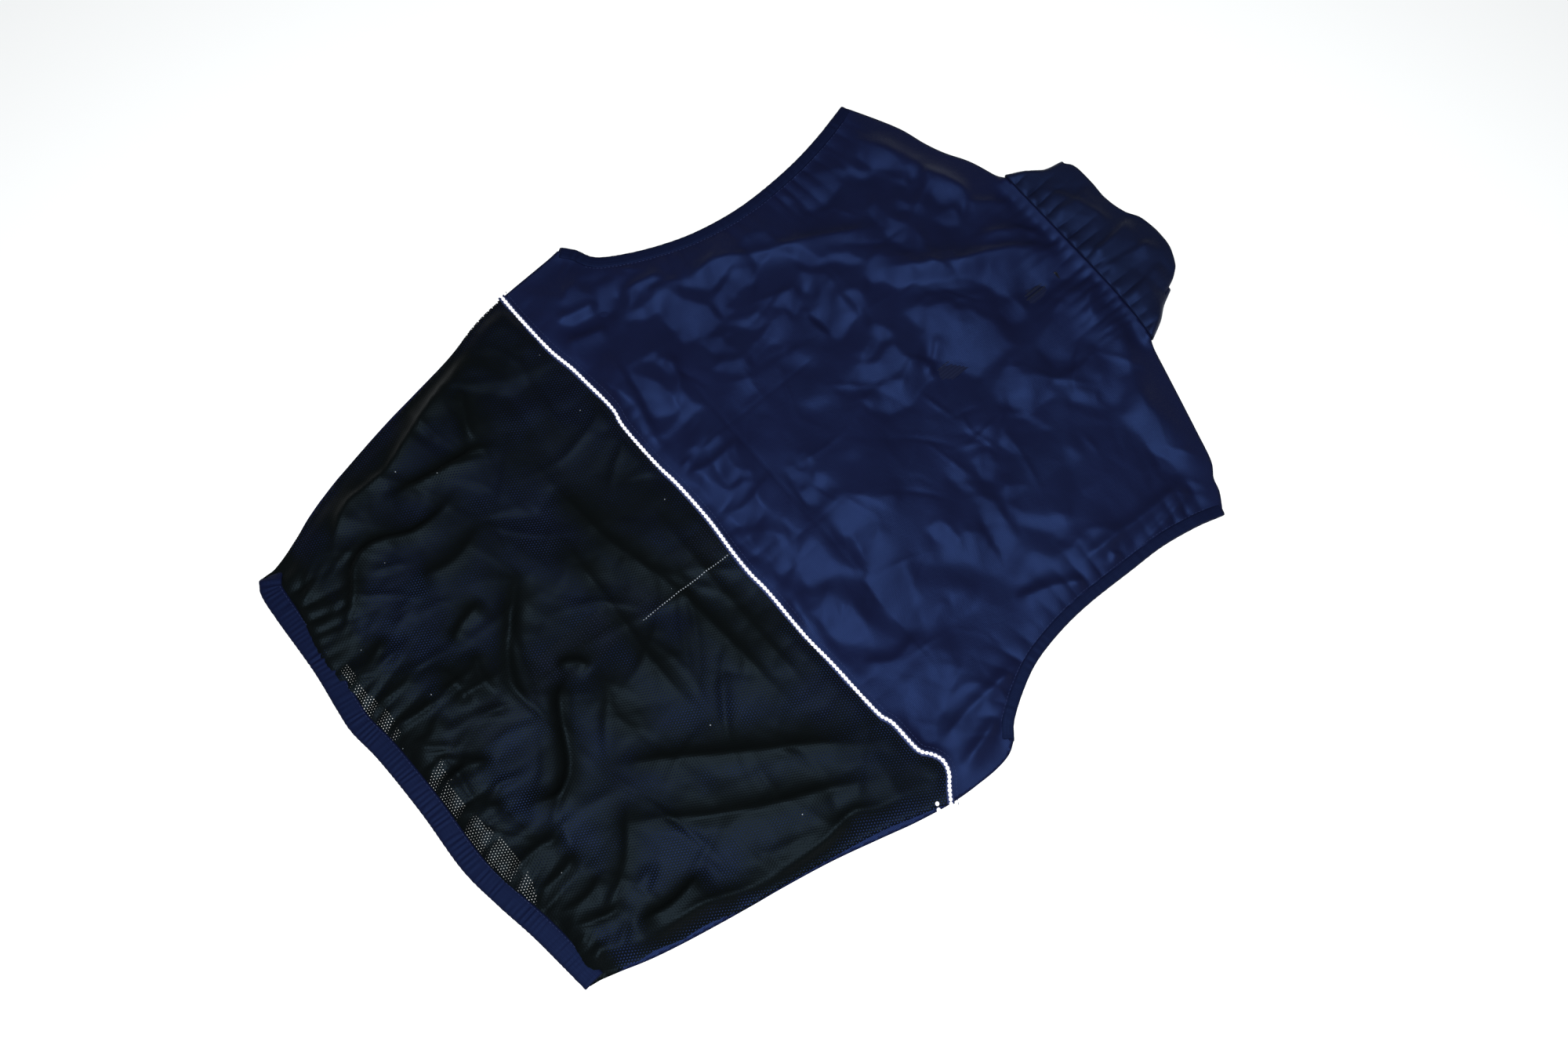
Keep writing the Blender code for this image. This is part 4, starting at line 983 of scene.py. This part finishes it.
left_peep = curve([(-192, -336), (-200, -312), (-212, -285), (-221, -257), (-228, -228), (-235, -196),
                   (-240, -168), (-247, -130), (-256, -97), (-260, -70), (-262, -40), (-263, -6)])
right_peep = curve([(197, -334), (204, -314), (211, -292), (218, -262), (226, -220), (231, -190),
                    (239, -150), (249, -112), (256, -86), (262, -55), (263.5, -26), (261, -4), (254, 8)])
left_front, left_front_ring = front_panel("left_front_cloth", left_peep, left_armhole, left_shoulder, -1)
right_front, right_front_ring = front_panel("right_front_cloth", right_peep, right_armhole, right_shoulder, 1)
print("fronts:", [round(cut_area(ring), 3) for ring in (left_front_ring, right_front_ring)], "square metres")

# %% [markdown]
# ## Gathered bands
#
# The hem and the armholes are finished with a tunnel of taffeta with elastic inside. The elastic is shorter
# than the cloth, so the tunnel puckers into small ridges square to the edge. Each is swept along a path: the
# section is a flat pillow, and the puckers are a wave along the path. Where a band turns from the back to
# the front at an underarm or a hem corner, the path dives over the edge and comes back underneath.


# %% Band sweep
PILLOW = 0.62  # 1 would make the section an ellipse, and 0 a rectangle


def band(name, path, across, width, thickness, pucker, wavelength, seed, closed=False, sides=20,
         lowest=0.15, face=None):
    """A flat pillow section swept along a 3D path, no lower than the floor lets it.

    Across is its width direction, and face is where its flat side looks. Puckers run square to both.
    """
    path, across = np.array(path, float), unit(np.array(across, float))
    step = np.roll(path, -1, 0) - np.roll(path, 1, 0) if closed else np.gradient(path, axis=0)
    tangent = unit(step)
    across = unit(across - tangent * (across * tangent).sum(1, keepdims=True)) if face is None else across
    up = np.cross(tangent, across) if face is None else np.array(face)
    along = travelled(path)
    phase = along / wavelength * 2 * math.pi + 5.0 * value_noise(along, 3 * wavelength, seed)
    strength = 0.65 + 0.35 * value_noise(along, 2.2 * wavelength, seed + 3)
    second = along / wavelength * 2.7 * math.pi + 3.0 * value_noise(along, 2 * wavelength, seed + 7)
    theta = np.linspace(0, 2 * math.pi, sides, endpoint=False)
    a = np.sign(np.cos(theta)) * np.abs(np.cos(theta)) ** PILLOW * width / 2
    b = np.sign(np.sin(theta)) * np.abs(np.sin(theta)) ** PILLOW * thickness / 2
    sway = 4.5 * value_noise(along, 5 * wavelength, seed + 12)
    wave = np.sin(phase[:, None] + sway[:, None] * a[None] / width) + 0.35 * np.sin(second[:, None])
    mix = 0.5 + a[None] / width
    low_side, high_side = (1.2 * value_noise(along, 1.6 * wavelength, seed + k)[:, None] for k in (21, 27))
    patchy = np.clip(0.55 + low_side * (1 - mix) + high_side * mix, 0, 1.3)
    out = np.abs(a / width * 2)[None]
    lift = pucker * strength[:, None] * patchy * wave * np.sin(theta)[None] * (1 - 0.5 * out**3)
    rim = 0.35 * pucker * strength[:, None] * wave * np.sign(a)[None] * (out > 0.8)
    wide, high = (a[None] + rim)[..., None], (b[None] + lift)[..., None]
    points = path[:, None] + across[:, None] * wide + up[:, None] * high
    points[..., 2] = np.maximum(points[..., 2], lowest)
    count = len(path)
    faces = []
    for i in range(count if closed else count - 1):
        j = (i + 1) % count
        for k in range(sides):
            m = (k + 1) % sides
            faces.append((i * sides + k, i * sides + m, j * sides + m, j * sides + k))
    if not closed:
        faces += [tuple(range(sides))[::-1], tuple(range((count - 1) * sides, count * sides))]
    places = np.stack(np.broadcast_arrays(along[:, None], (theta * width / math.pi)[None]), axis=-1)
    made = build(name, points.reshape(-1, 3), faces, places=places.reshape(-1, 2))
    work = bmesh.new()
    work.from_mesh(made.data)
    bmesh.ops.recalc_face_normals(work, faces=work.faces)
    work.to_mesh(made.data)
    work.free()
    return made


BEND = np.linspace(0, 1, 11)[1:-1, None]
RIGHT, UP = np.array([1.0, 0.0, 0.0]), np.array([0.0, 0.0, 1.0])


def square_to(run, axis):
    """The plan direction square to a run, on its side towards +x (axis 0) or +y (axis 1)."""
    step = unit(np.gradient(run[:, :2], axis=0))
    side = np.stack([-step[:, 1], step[:, 0], np.zeros(len(run))], axis=1)
    return np.where(side[:, axis : axis + 1] < 0, -side, side)


def over_the_edge(start, end, out, reach):
    """Points that swing from one run out past the edge and back to the other run."""
    return start * (1 - BEND) + end * BEND + out * np.sin(BEND * math.pi) * reach


def facing_round(out, first):
    """The face over an edge: it turns from the first direction through outwards to the opposite one."""
    return first * np.cos(BEND * math.pi) + out * np.sin(BEND * math.pi)


def between(start, end):
    """Directions that turn evenly from one to the other over an edge."""
    return unit(start * (1 - BEND) + end * BEND)


# %% Hem casing
HEM_WIDTH = 17.0
HEM_CORNER = 205  # this far from the middle, the back hem has come down to its ends
ZIP_GAP = 17  # the front hem stops this far from the middle, short of the zip
back_run = resampled(offset_line(back_hem, HEM_WIDTH / 2), 0.8)
middle_share = np.clip(1 - (np.abs(back_run[:, 0]) / HEM_CORNER) ** 8, 0, 1)
back_run = np.column_stack([back_run, 5.2 + 2.0 * middle_share])


def front_run(way):
    """Half of the front hem's middle line, from the side to the zip, dipping to the floor between them."""
    half = offset_line(front_hem, HEM_WIDTH / 2)
    half = half[(half[:, 0] * way > ZIP_GAP) & (half[:, 0] * way < 189)]
    half = half[np.argsort(-half[:, 0] * way)]
    height = 2.0 + 1.6 * (1 - ease((np.abs(half[:, 0]) - ZIP_GAP) / 25))
    return resampled(np.column_stack([half, height]), 1.2)


front_left, front_right = front_run(-1), front_run(1)
left_across, back_across, right_across = (square_to(run, 1) for run in (front_left, back_run, front_right))
path = np.vstack([
    front_left[::-1], over_the_edge(front_left[0], back_run[0], -RIGHT, 1.8), back_run,
    over_the_edge(back_run[-1], front_right[0], RIGHT, 1.8), front_right,
])
across = np.vstack([
    left_across[::-1], between(left_across[0], back_across[0]), back_across,
    between(back_across[-1], right_across[0]), right_across,
])
face = np.vstack([
    np.tile(-UP, (len(front_left), 1)), facing_round(-RIGHT, -UP), np.tile(UP, (len(back_run), 1)),
    facing_round(RIGHT, UP), np.tile(-UP, (len(front_right), 1)),
])
hem_casing = band("hem_casing_cloth", path, across, width=HEM_WIDTH, thickness=3.0, pucker=0.45,
                  wavelength=4.4, seed=51, face=face)
hem_elastic = band("hem_elastic_strip", path, across, width=10.0, thickness=0.7, pucker=0.0, wavelength=4.6,
                   seed=52, sides=8, lowest=0.6, face=face)
print("hem casing:", len(hem_casing.data.polygons), "faces")


# %% Armhole bindings
def armhole_binding(name, line, way, seed):
    """A band up the armhole's back, over the shoulder seam and down its front, closed at the underarm."""
    middle = resampled(offset_line(line, way * BINDING / 2), 0.9)
    ends = ease(np.minimum(np.arange(len(middle)), np.arange(len(middle))[::-1]) / 22)
    back = np.column_stack([middle, ARMHOLE_HEIGHT - 0.9 + 1.2 * ends])
    front = np.column_stack([middle, np.full(len(middle), 1.8)])[::-1]
    past_shoulder = unit((back[-1] - back[-4]) * (1, 1, 0))
    past_underarm = unit((back[0] - back[3]) * (1, 1, 0))
    side = square_to(middle, 0)
    path = np.vstack([
        back, over_the_edge(back[-1], front[0], past_shoulder, 1.2),
        front, over_the_edge(front[-1], back[0], past_underarm, 1.2),
    ])
    across = np.vstack([side, between(side[-1], side[-1]), side[::-1], between(side[0], side[0])])
    face = np.vstack([
        np.tile(UP, (len(back), 1)), facing_round(past_shoulder, UP),
        np.tile(-UP, (len(front), 1)), facing_round(past_underarm, -UP),
    ])
    loop = {"path": path, "across": across, "face": face, "closed": True, "seed": seed}
    casing = band(name + "_binding_cloth", width=BINDING, thickness=2.2, pucker=0.22, wavelength=7.0, **loop)
    elastic = band(name + "_elastic_strip", width=5.0, thickness=0.6, pucker=0.0, wavelength=4.2, sides=8,
                   lowest=0.5, **loop)
    return casing, elastic


left_binding, left_elastic = armhole_binding("left_armhole", left_armhole, -1, 61)
right_binding, right_elastic = armhole_binding("right_armhole", right_armhole, 1, 62)
print("bindings:", len(left_binding.data.polygons), len(right_binding.data.polygons), "faces")

# %% [markdown]
# ## The collar
#
# A stand-up collar that lies flat is a loop: its back leaf on top, its two front leaves beneath, and the
# zip between them. Each leaf is filled in between four curves (a Coons patch), and the neck seam gathers
# the back leaf. One sheet runs round the whole loop, and its thickness stands for the shell with its lining.


# %% Collar
def coons(low, high, start, end):
    """Fills a patch between a low and a high curve, given its start and end curves, all as rows of points."""
    u = np.linspace(0, 1, len(low))[:, None, None]
    v = np.linspace(0, 1, len(start))[None, :, None]
    across = low[:, None] * (1 - v) + high[:, None] * v
    along = start[None] * (1 - u) + end[None] * u
    corners = (low[0] * (1 - u) + low[-1] * u) * (1 - v) + (high[0] * (1 - u) + high[-1] * u) * v
    return across + along - corners


def evenly(points, count):
    """The smooth curve through the points, with this many points."""
    return resampled(curve(points, 1.0), count=count)


COLLAR_ROWS, BACK_COLUMNS, FRONT_COLUMNS, TURN_COLUMNS = 34, 120, 60, 6
TURN_REACH, COLLAR_LOWEST = 2.4, 1.4
CUT_STEP, COLLAR_HEIGHT = 1.4, 60  # the flat strip's step along the neck, and its height
left_end = evenly([(-85, 301), (-77, 315), (-69, 328), (-66, 344)], COLLAR_ROWS)
right_end = evenly([(85, 297), (78, 311), (70, 322), (63, 336)], COLLAR_ROWS)
back_leaf = coons(
    evenly([(-85, 299), (-60, 299), (-20, 299.3), (20, 299.3), (60, 298), (85, 295)], BACK_COLUMNS),
    evenly([(-66, 344), (-58, 349), (-40, 350), (-22, 349.5), (-5, 353), (9, 359.5), (32, 360.5), (47, 356),
            (57, 349), (63, 336)], BACK_COLUMNS),
    left_end, right_end,
)
right_leaf = coons(
    evenly([(85, 297), (62, 264), (34, 243), (4.5, 233)], FRONT_COLUMNS),
    evenly([(63, 336), (46, 318), (24, 302), (4.5, 293)], FRONT_COLUMNS),
    right_end, evenly([(4.5, 233), (4.5, 293)], COLLAR_ROWS),
)
left_leaf = coons(
    evenly([(-4.5, 233), (-34, 243), (-62, 264), (-85, 301)], FRONT_COLUMNS),
    evenly([(-4.5, 293), (-24, 304), (-48, 322), (-66, 344)], FRONT_COLUMNS),
    evenly([(-4.5, 233), (-4.5, 293)], COLLAR_ROWS), left_end,
)
turned = np.linspace(0, 1, TURN_COLUMNS + 2)[1:-1]
left_turn, right_turn = (
    end[None] + np.array([way, 0.1]) * (np.sin(turned * math.pi) * TURN_REACH)[:, None, None]
    for end, way in ((left_end, -1.0), (right_end, 1.0))
)
plan = np.vstack([left_leaf, left_turn, back_leaf, right_turn, right_leaf])
on_top = np.concatenate([
    np.zeros(FRONT_COLUMNS), ease(turned), np.ones(BACK_COLUMNS), 1 - ease(turned), np.zeros(FRONT_COLUMNS),
])[:, None]
share = np.linspace(0, 1, COLLAR_ROWS)[None]
p = plan.reshape(-1, 2)
near_zip = 1 - ease((np.abs(plan[..., 0]) - 6) / 20)
low_height = 2.0 + 1.7 * near_zip
high_height = NECK_HEIGHT + 1.2 * np.sin(plan[..., 0] / 17 + 0.6) * share - 2.2 * share
high_height = high_height + 1.6 * np.sin(share * math.pi)
tucks = gathers(p, neck, 2.3, 11, 13, 41, side=1).reshape(high_height.shape)
soft = (facets(p, 22, 1.7, 43, stretch=0.8) + facets(p, 10, 0.5, 44)).reshape(high_height.shape)
dips = sum(
    fold(p, path, height, steep, gentle).reshape(high_height.shape)
    for path, height, steep, gentle in (
        ([(6, 301), (8, 325), (4, 352)], 3.4, 3, 8), ([(22, 301), (26, 330), (30, 356)], 2.2, 3, 10),
        ([(-40, 303), (-34, 325), (-38, 346)], 1.9, 4, 10), ([(55, 303), (50, 325), (48, 345)], 2.2, 4, 9),
        ([(-62, 312), (-30, 330), (0, 338)], 2.0, 4, 9),
    )
)
high_height = high_height - 0.4 + 0.4 * ease(share / 0.05) + tucks + (soft + dips) * ease(share / 0.2)
z = np.maximum(low_height * (1 - on_top) + high_height * on_top, COLLAR_LOWEST)
faces = [f[::-1] for f in grid_faces(len(plan), COLLAR_ROWS)]
cut = np.stack(np.broadcast_arrays(np.arange(len(plan))[:, None] * CUT_STEP, share * COLLAR_HEIGHT), axis=-1)
collar = build("collar_cloth", np.dstack([plan, z]).reshape(-1, 3), faces, places=cut.reshape(-1, 2))
print("collar:", len(faces), "faces, top at", round(z.max(), 1), "mm")

# %% [markdown]
# ## What repeats: piping beads, stitches and zip teeth
#
# One Geometry Nodes tree serves all three. It turns a row of points into a curve, walks along it in equal
# steps, and puts a small rounded body at each step, turned along the curve. Its inputs name the step, the
# size of the body and how much it may wander. Realize Instances makes the copies real, because
# an exported file keeps only real geometry.


# %% Tree for repeated bodies
def repeat_tree():
    tree = bpy.data.node_groups.new("bodies_along_a_line", "GeometryNodeTree")
    face = tree.interface
    face.new_socket("Line", in_out="INPUT", socket_type="NodeSocketGeometry")
    for label, kind, value in (
        ("Step", "NodeSocketFloat", 0.003), ("Size", "NodeSocketVector", (0.001, 0.001, 0.003)),
        ("Wander", "NodeSocketFloat", 0.1), ("Seed", "NodeSocketInt", 1), ("Sides", "NodeSocketInt", 8),
        ("Rings", "NodeSocketInt", 5),
    ):
        face.new_socket(label, in_out="INPUT", socket_type=kind).default_value = value
    face.new_socket("Finish", in_out="INPUT", socket_type="NodeSocketMaterial")
    face.new_socket("Bodies", in_out="OUTPUT", socket_type="NodeSocketGeometry")
    given = add(tree, "NodeGroupInput").outputs
    line = add(tree, "GeometryNodeMeshToCurve", {"Mesh": given["Line"]}).outputs["Curve"]
    steps = {"Curve": line, "Length": given["Step"]}
    spots = add(tree, "GeometryNodeCurveToPoints", steps, mode="LENGTH").outputs
    ball = {"Segments": given["Sides"], "Rings": given["Rings"], "Radius": 0.5}
    body = add(tree, "GeometryNodeMeshUVSphere", ball)
    less = add(tree, "ShaderNodeMath", {0: 1.0, 1: given["Wander"]}, operation="SUBTRACT").outputs[0]
    more = add(tree, "ShaderNodeMath", {0: 1.0, 1: given["Wander"]}, operation="ADD").outputs[0]
    uneven = add(tree, "FunctionNodeRandomValue", {"Seed": given["Seed"]}, data_type="FLOAT")
    tree.links.new(less, uneven.inputs[2])
    tree.links.new(more, uneven.inputs[3])
    scaling = {0: given["Size"], 3: uneven.outputs[1]}
    size = add(tree, "ShaderNodeVectorMath", scaling, operation="SCALE").outputs[0]
    placed = add(tree, "GeometryNodeInstanceOnPoints", {
        "Points": spots["Points"], "Instance": body.outputs["Mesh"], "Rotation": spots["Rotation"],
        "Scale": size,
    })
    last = placed.outputs["Instances"]
    for kind, extra in (
        ("GeometryNodeRealizeInstances", {}), ("GeometryNodeSetShadeSmooth", {}),
        ("GeometryNodeSetMaterial", {"Material": given["Finish"]}),
    ):
        last = add(tree, kind, {"Geometry": last, **extra}).outputs["Geometry"]
    add(tree, "NodeGroupOutput", {"Bodies": last})
    return tree


bodies_along = repeat_tree()


def repeated(name, lines, material, **inputs):
    """One mesh of bodies along every polyline. Sizes and steps are in metres, as the tree needs them."""
    points, edges = [], []
    for line in lines:
        edges += [(len(points) + k, len(points) + k + 1) for k in range(len(line) - 1)]
        points += list(np.array(line))
    made = build(name, points, edges=edges)
    modifier = made.modifiers.new("bodies", "NODES")
    modifier.node_group = bodies_along
    named = {item.name: item.identifier for item in bodies_along.interface.items_tree}
    for label, value in {**inputs, "Finish": material}.items():
        modifier[named[label]] = value
    plain(made)
    return made


print("tree inputs:", [item.name for item in bodies_along.interface.items_tree])


# %% Lines on the cloth
FROM_ABOVE = 60


def cloth_trees(*objects):
    """A search tree over each finished cloth."""
    graph = bpy.context.evaluated_depsgraph_get()
    return [BVHTree.FromObject(o, graph) for o in objects]


def laid_on(line, trees, lift):
    """A plan line laid on the cloth: each point drops onto the highest, or takes its neighbours' height."""
    heights = []
    for x, y in line:
        hits = [t.ray_cast(Vector((x, y, FROM_ABOVE)) * MM, Vector((0, 0, -1)))[0] for t in trees]
        heights.append(max([h.z / MM for h in hits if h is not None], default=np.nan))
    z = np.array(heights)
    known = ~np.isnan(z)
    z = np.interp(np.arange(len(z)), np.flatnonzero(known), z[known])
    return np.column_stack([line, z + lift])


# %% [markdown]
# ## Piping and stitches
#
# The piping is sewn between the taffeta and the mesh. It looks like a row of bright beads, because the
# cord inside is twisted. One short end has come loose at the side. Below the beads lies the flange, a
# narrow dark tape. The seams have a stitch of about 3 mm. The thread is drawn 0.5 mm thick, where the
# real one is 0.25 mm, because a finer one wouldn't show.

# %% Piping
BEAD_STEP, BEAD_SIZE = 3.25, 3.0
SMOOTHED_OVER = 9  # points of the path
CLOTH_THICKNESS, COLLAR_THICKNESS = 0.3, 1.6
for obj in (yoke, lower_back, left_front, right_front):
    thicken(obj, CLOTH_THICKNESS)
thicken(collar, COLLAR_THICKNESS)
piping_path = laid_on(resampled(piping_line), cloth_trees(yoke, lower_back), 0.0)
padded = np.pad(piping_path[:, 2], SMOOTHED_OVER // 2, mode="edge")
piping_path[:, 2] = np.convolve(padded, np.ones(SMOOTHED_OVER) / SMOOTHED_OVER, mode="valid") + 0.9
loose_end = np.array([(255.5, -66.5, 4.2), (259.5, -68.5, 3.4)])
piping = repeated("piping_beads", [piping_path, loose_end], reflective_film, Step=BEAD_STEP * MM,
                  Size=(BEAD_SIZE * MM, BEAD_SIZE * MM, 1.12 * BEAD_SIZE * MM), Wander=0.07, Seed=4,
                  Sides=12, Rings=8)
flange_path = piping_path - (0, 0, 1.0)
flange = band("piping_flange", flange_path, square_to(flange_path, 1), width=5.5, thickness=0.9, pucker=0.1,
              wavelength=6.0, seed=71, sides=8)
print("piping:", len(piping.data.polygons), "faces")

# %% Stitches
STITCH, STITCH_LENGTH, THREAD_WIDTH, STITCH_LIFT = 3.0, 2.2, 0.5, 0.1
stitch_lines = [
    laid_on(resampled(offset_line(line, offset)[stretch]), cloth_trees(*cloth), STITCH_LIFT)
    for line, offset, stretch, cloth in (
        (piping_line, 5.2, slice(None), (yoke, lower_back)),
        (left_armhole, -BINDING - 0.4, slice(6, -3), (yoke, left_binding)),
        (right_armhole, BINDING + 0.4, slice(3, -3), (yoke, right_binding)),
        (back_hem, HEM_WIDTH - 1.6, slice(3, -3), (hem_casing,)),
    )
]
stitches = repeated("seam_stitches", stitch_lines, sewing_thread, Step=STITCH * MM,
                    Size=(THREAD_WIDTH * MM, THREAD_WIDTH * MM, STITCH_LENGTH * MM), Wander=0.08, Seed=9,
                    Sides=6, Rings=4)
print("stitches:", len(stitches.data.polygons) // 24)

# %% [markdown]
# ## The zip
#
# The zip lies underneath, between the fronts. Its coils are nylon monofilament, 1.5 mm from turn to turn,
# so each turn is a small rounded bar across the tape. The slider, the pull, the stops, the pin and the box
# keep the shapes of the CAD model, and take painted zinc.

# %% Zip
TOOTH_STEP, COIL_END = 1.5, 0.6
coils = []
for way, name in ((-1, "zip_coil_left"), (1, "zip_coil_right")):
    low, high = (np.array(v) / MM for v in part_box(name))
    middle = (low + high) / 2
    shift = 0.25 * TOOTH_STEP * way
    line = [(middle[0], y + shift, middle[2]) for y in (low[1] + COIL_END, high[1] - COIL_END)]
    size = ((high[0] - low[0]) * MM, (high[2] - low[2]) * MM, 0.95 * MM)
    teeth = repeated(name + "_teeth", [line], zip_coil_nylon, Step=TOOTH_STEP * MM, Size=size, Wander=0.0,
                     Seed=1, Sides=8, Rings=4)
    span = np.ptp([v.co.x for v in teeth.data.vertices]) / MM
    print(name, "teeth:", len(teeth.data.polygons) // 32, "width", round(span, 2), "mm")
    coils.append(teeth)

# %% Zip tapes
TAPE_THICKNESS, RIB = 0.4, 2.4


def zip_tape(way, name):
    """A woven tape from the middle of the zip to where it is sewn in, a little ribbed along its length."""
    low, high = (np.array(v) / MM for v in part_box(name))
    across_x = np.concatenate([np.linspace(0.04, 2.6, 4), np.linspace(3.2, 15.0, 18)])
    along_y = np.arange(low[1], high[1], 4.0)
    x, y = np.meshgrid(across_x, along_y, indexing="ij")
    z = (low[2] + high[2]) / 2 + 0.12 * np.cos(x * 2 * math.pi / RIB) * (x > 3)
    points = np.stack([way * x, y, z], axis=-1).reshape(-1, 3)
    faces = grid_faces(len(across_x), len(along_y))
    made = build(name + "_cloth", points, [f if way > 0 else f[::-1] for f in faces])
    thicken(made, TAPE_THICKNESS)
    return made


tapes = [zip_tape(-1, "zip_tape_left"), zip_tape(1, "zip_tape_right")]
print("tapes:", [len(t.data.polygons) for t in tapes], "faces")

# %% [markdown]
# ## Who rides on what
#
# Every piece is dressed in its material and tied to a body of the CAD model.

# %% Finish and tie to bodies
for look, slot, cloths in (
    (navy_taffeta, "navy_taffeta", (yoke, left_front, right_front)),
    (black_mesh, "black_mesh", (lower_back,)),
    (band_taffeta_shaded, "navy_taffeta", (left_binding, right_binding, hem_casing)),
    (collar_taffeta, "navy_taffeta", (collar,)),
    (elastic_rubber, "elastic", (left_elastic, right_elastic, hem_elastic)),
    (sewing_thread, "reflective_cord", (flange,)),
    (zip_tape_cloth, "zip_tape", tapes),
):
    for cloth in cloths:
        dress(cloth, look)
for name in ("zip_top_stop_left", "zip_top_stop_right", "zip_insertion_pin", "zip_retainer_box", "zip_slider",
             "zip_pull"):
    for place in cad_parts[name].material_slots:
        place.material = zip_metal
stands_for = (
    (yoke, "upper_back_panel"), (lower_back, "lower_back_mesh"), (left_front, "left_front_panel"),
    (right_front, "right_front_panel"), (hem_casing, "hem_casing"), (left_binding, "left_armhole_binding"),
    (right_binding, "right_armhole_binding"), (left_elastic, "left_armhole_elastic"),
    (right_elastic, "right_armhole_elastic"), (hem_elastic, "hem_elastic"), (collar, "collar_outer"),
    (collar, "collar_lining"), (piping, "reflective_piping"), (coils[0], "zip_coil_left"),
    (coils[1], "zip_coil_right"), (tapes[0], "zip_tape_left"), (tapes[1], "zip_tape_right"),
)
for piece, node in stands_for:
    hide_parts(node)
for piece in dict.fromkeys([piece for piece, _ in stands_for] + [flange, stitches]):
    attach(piece, "garment")
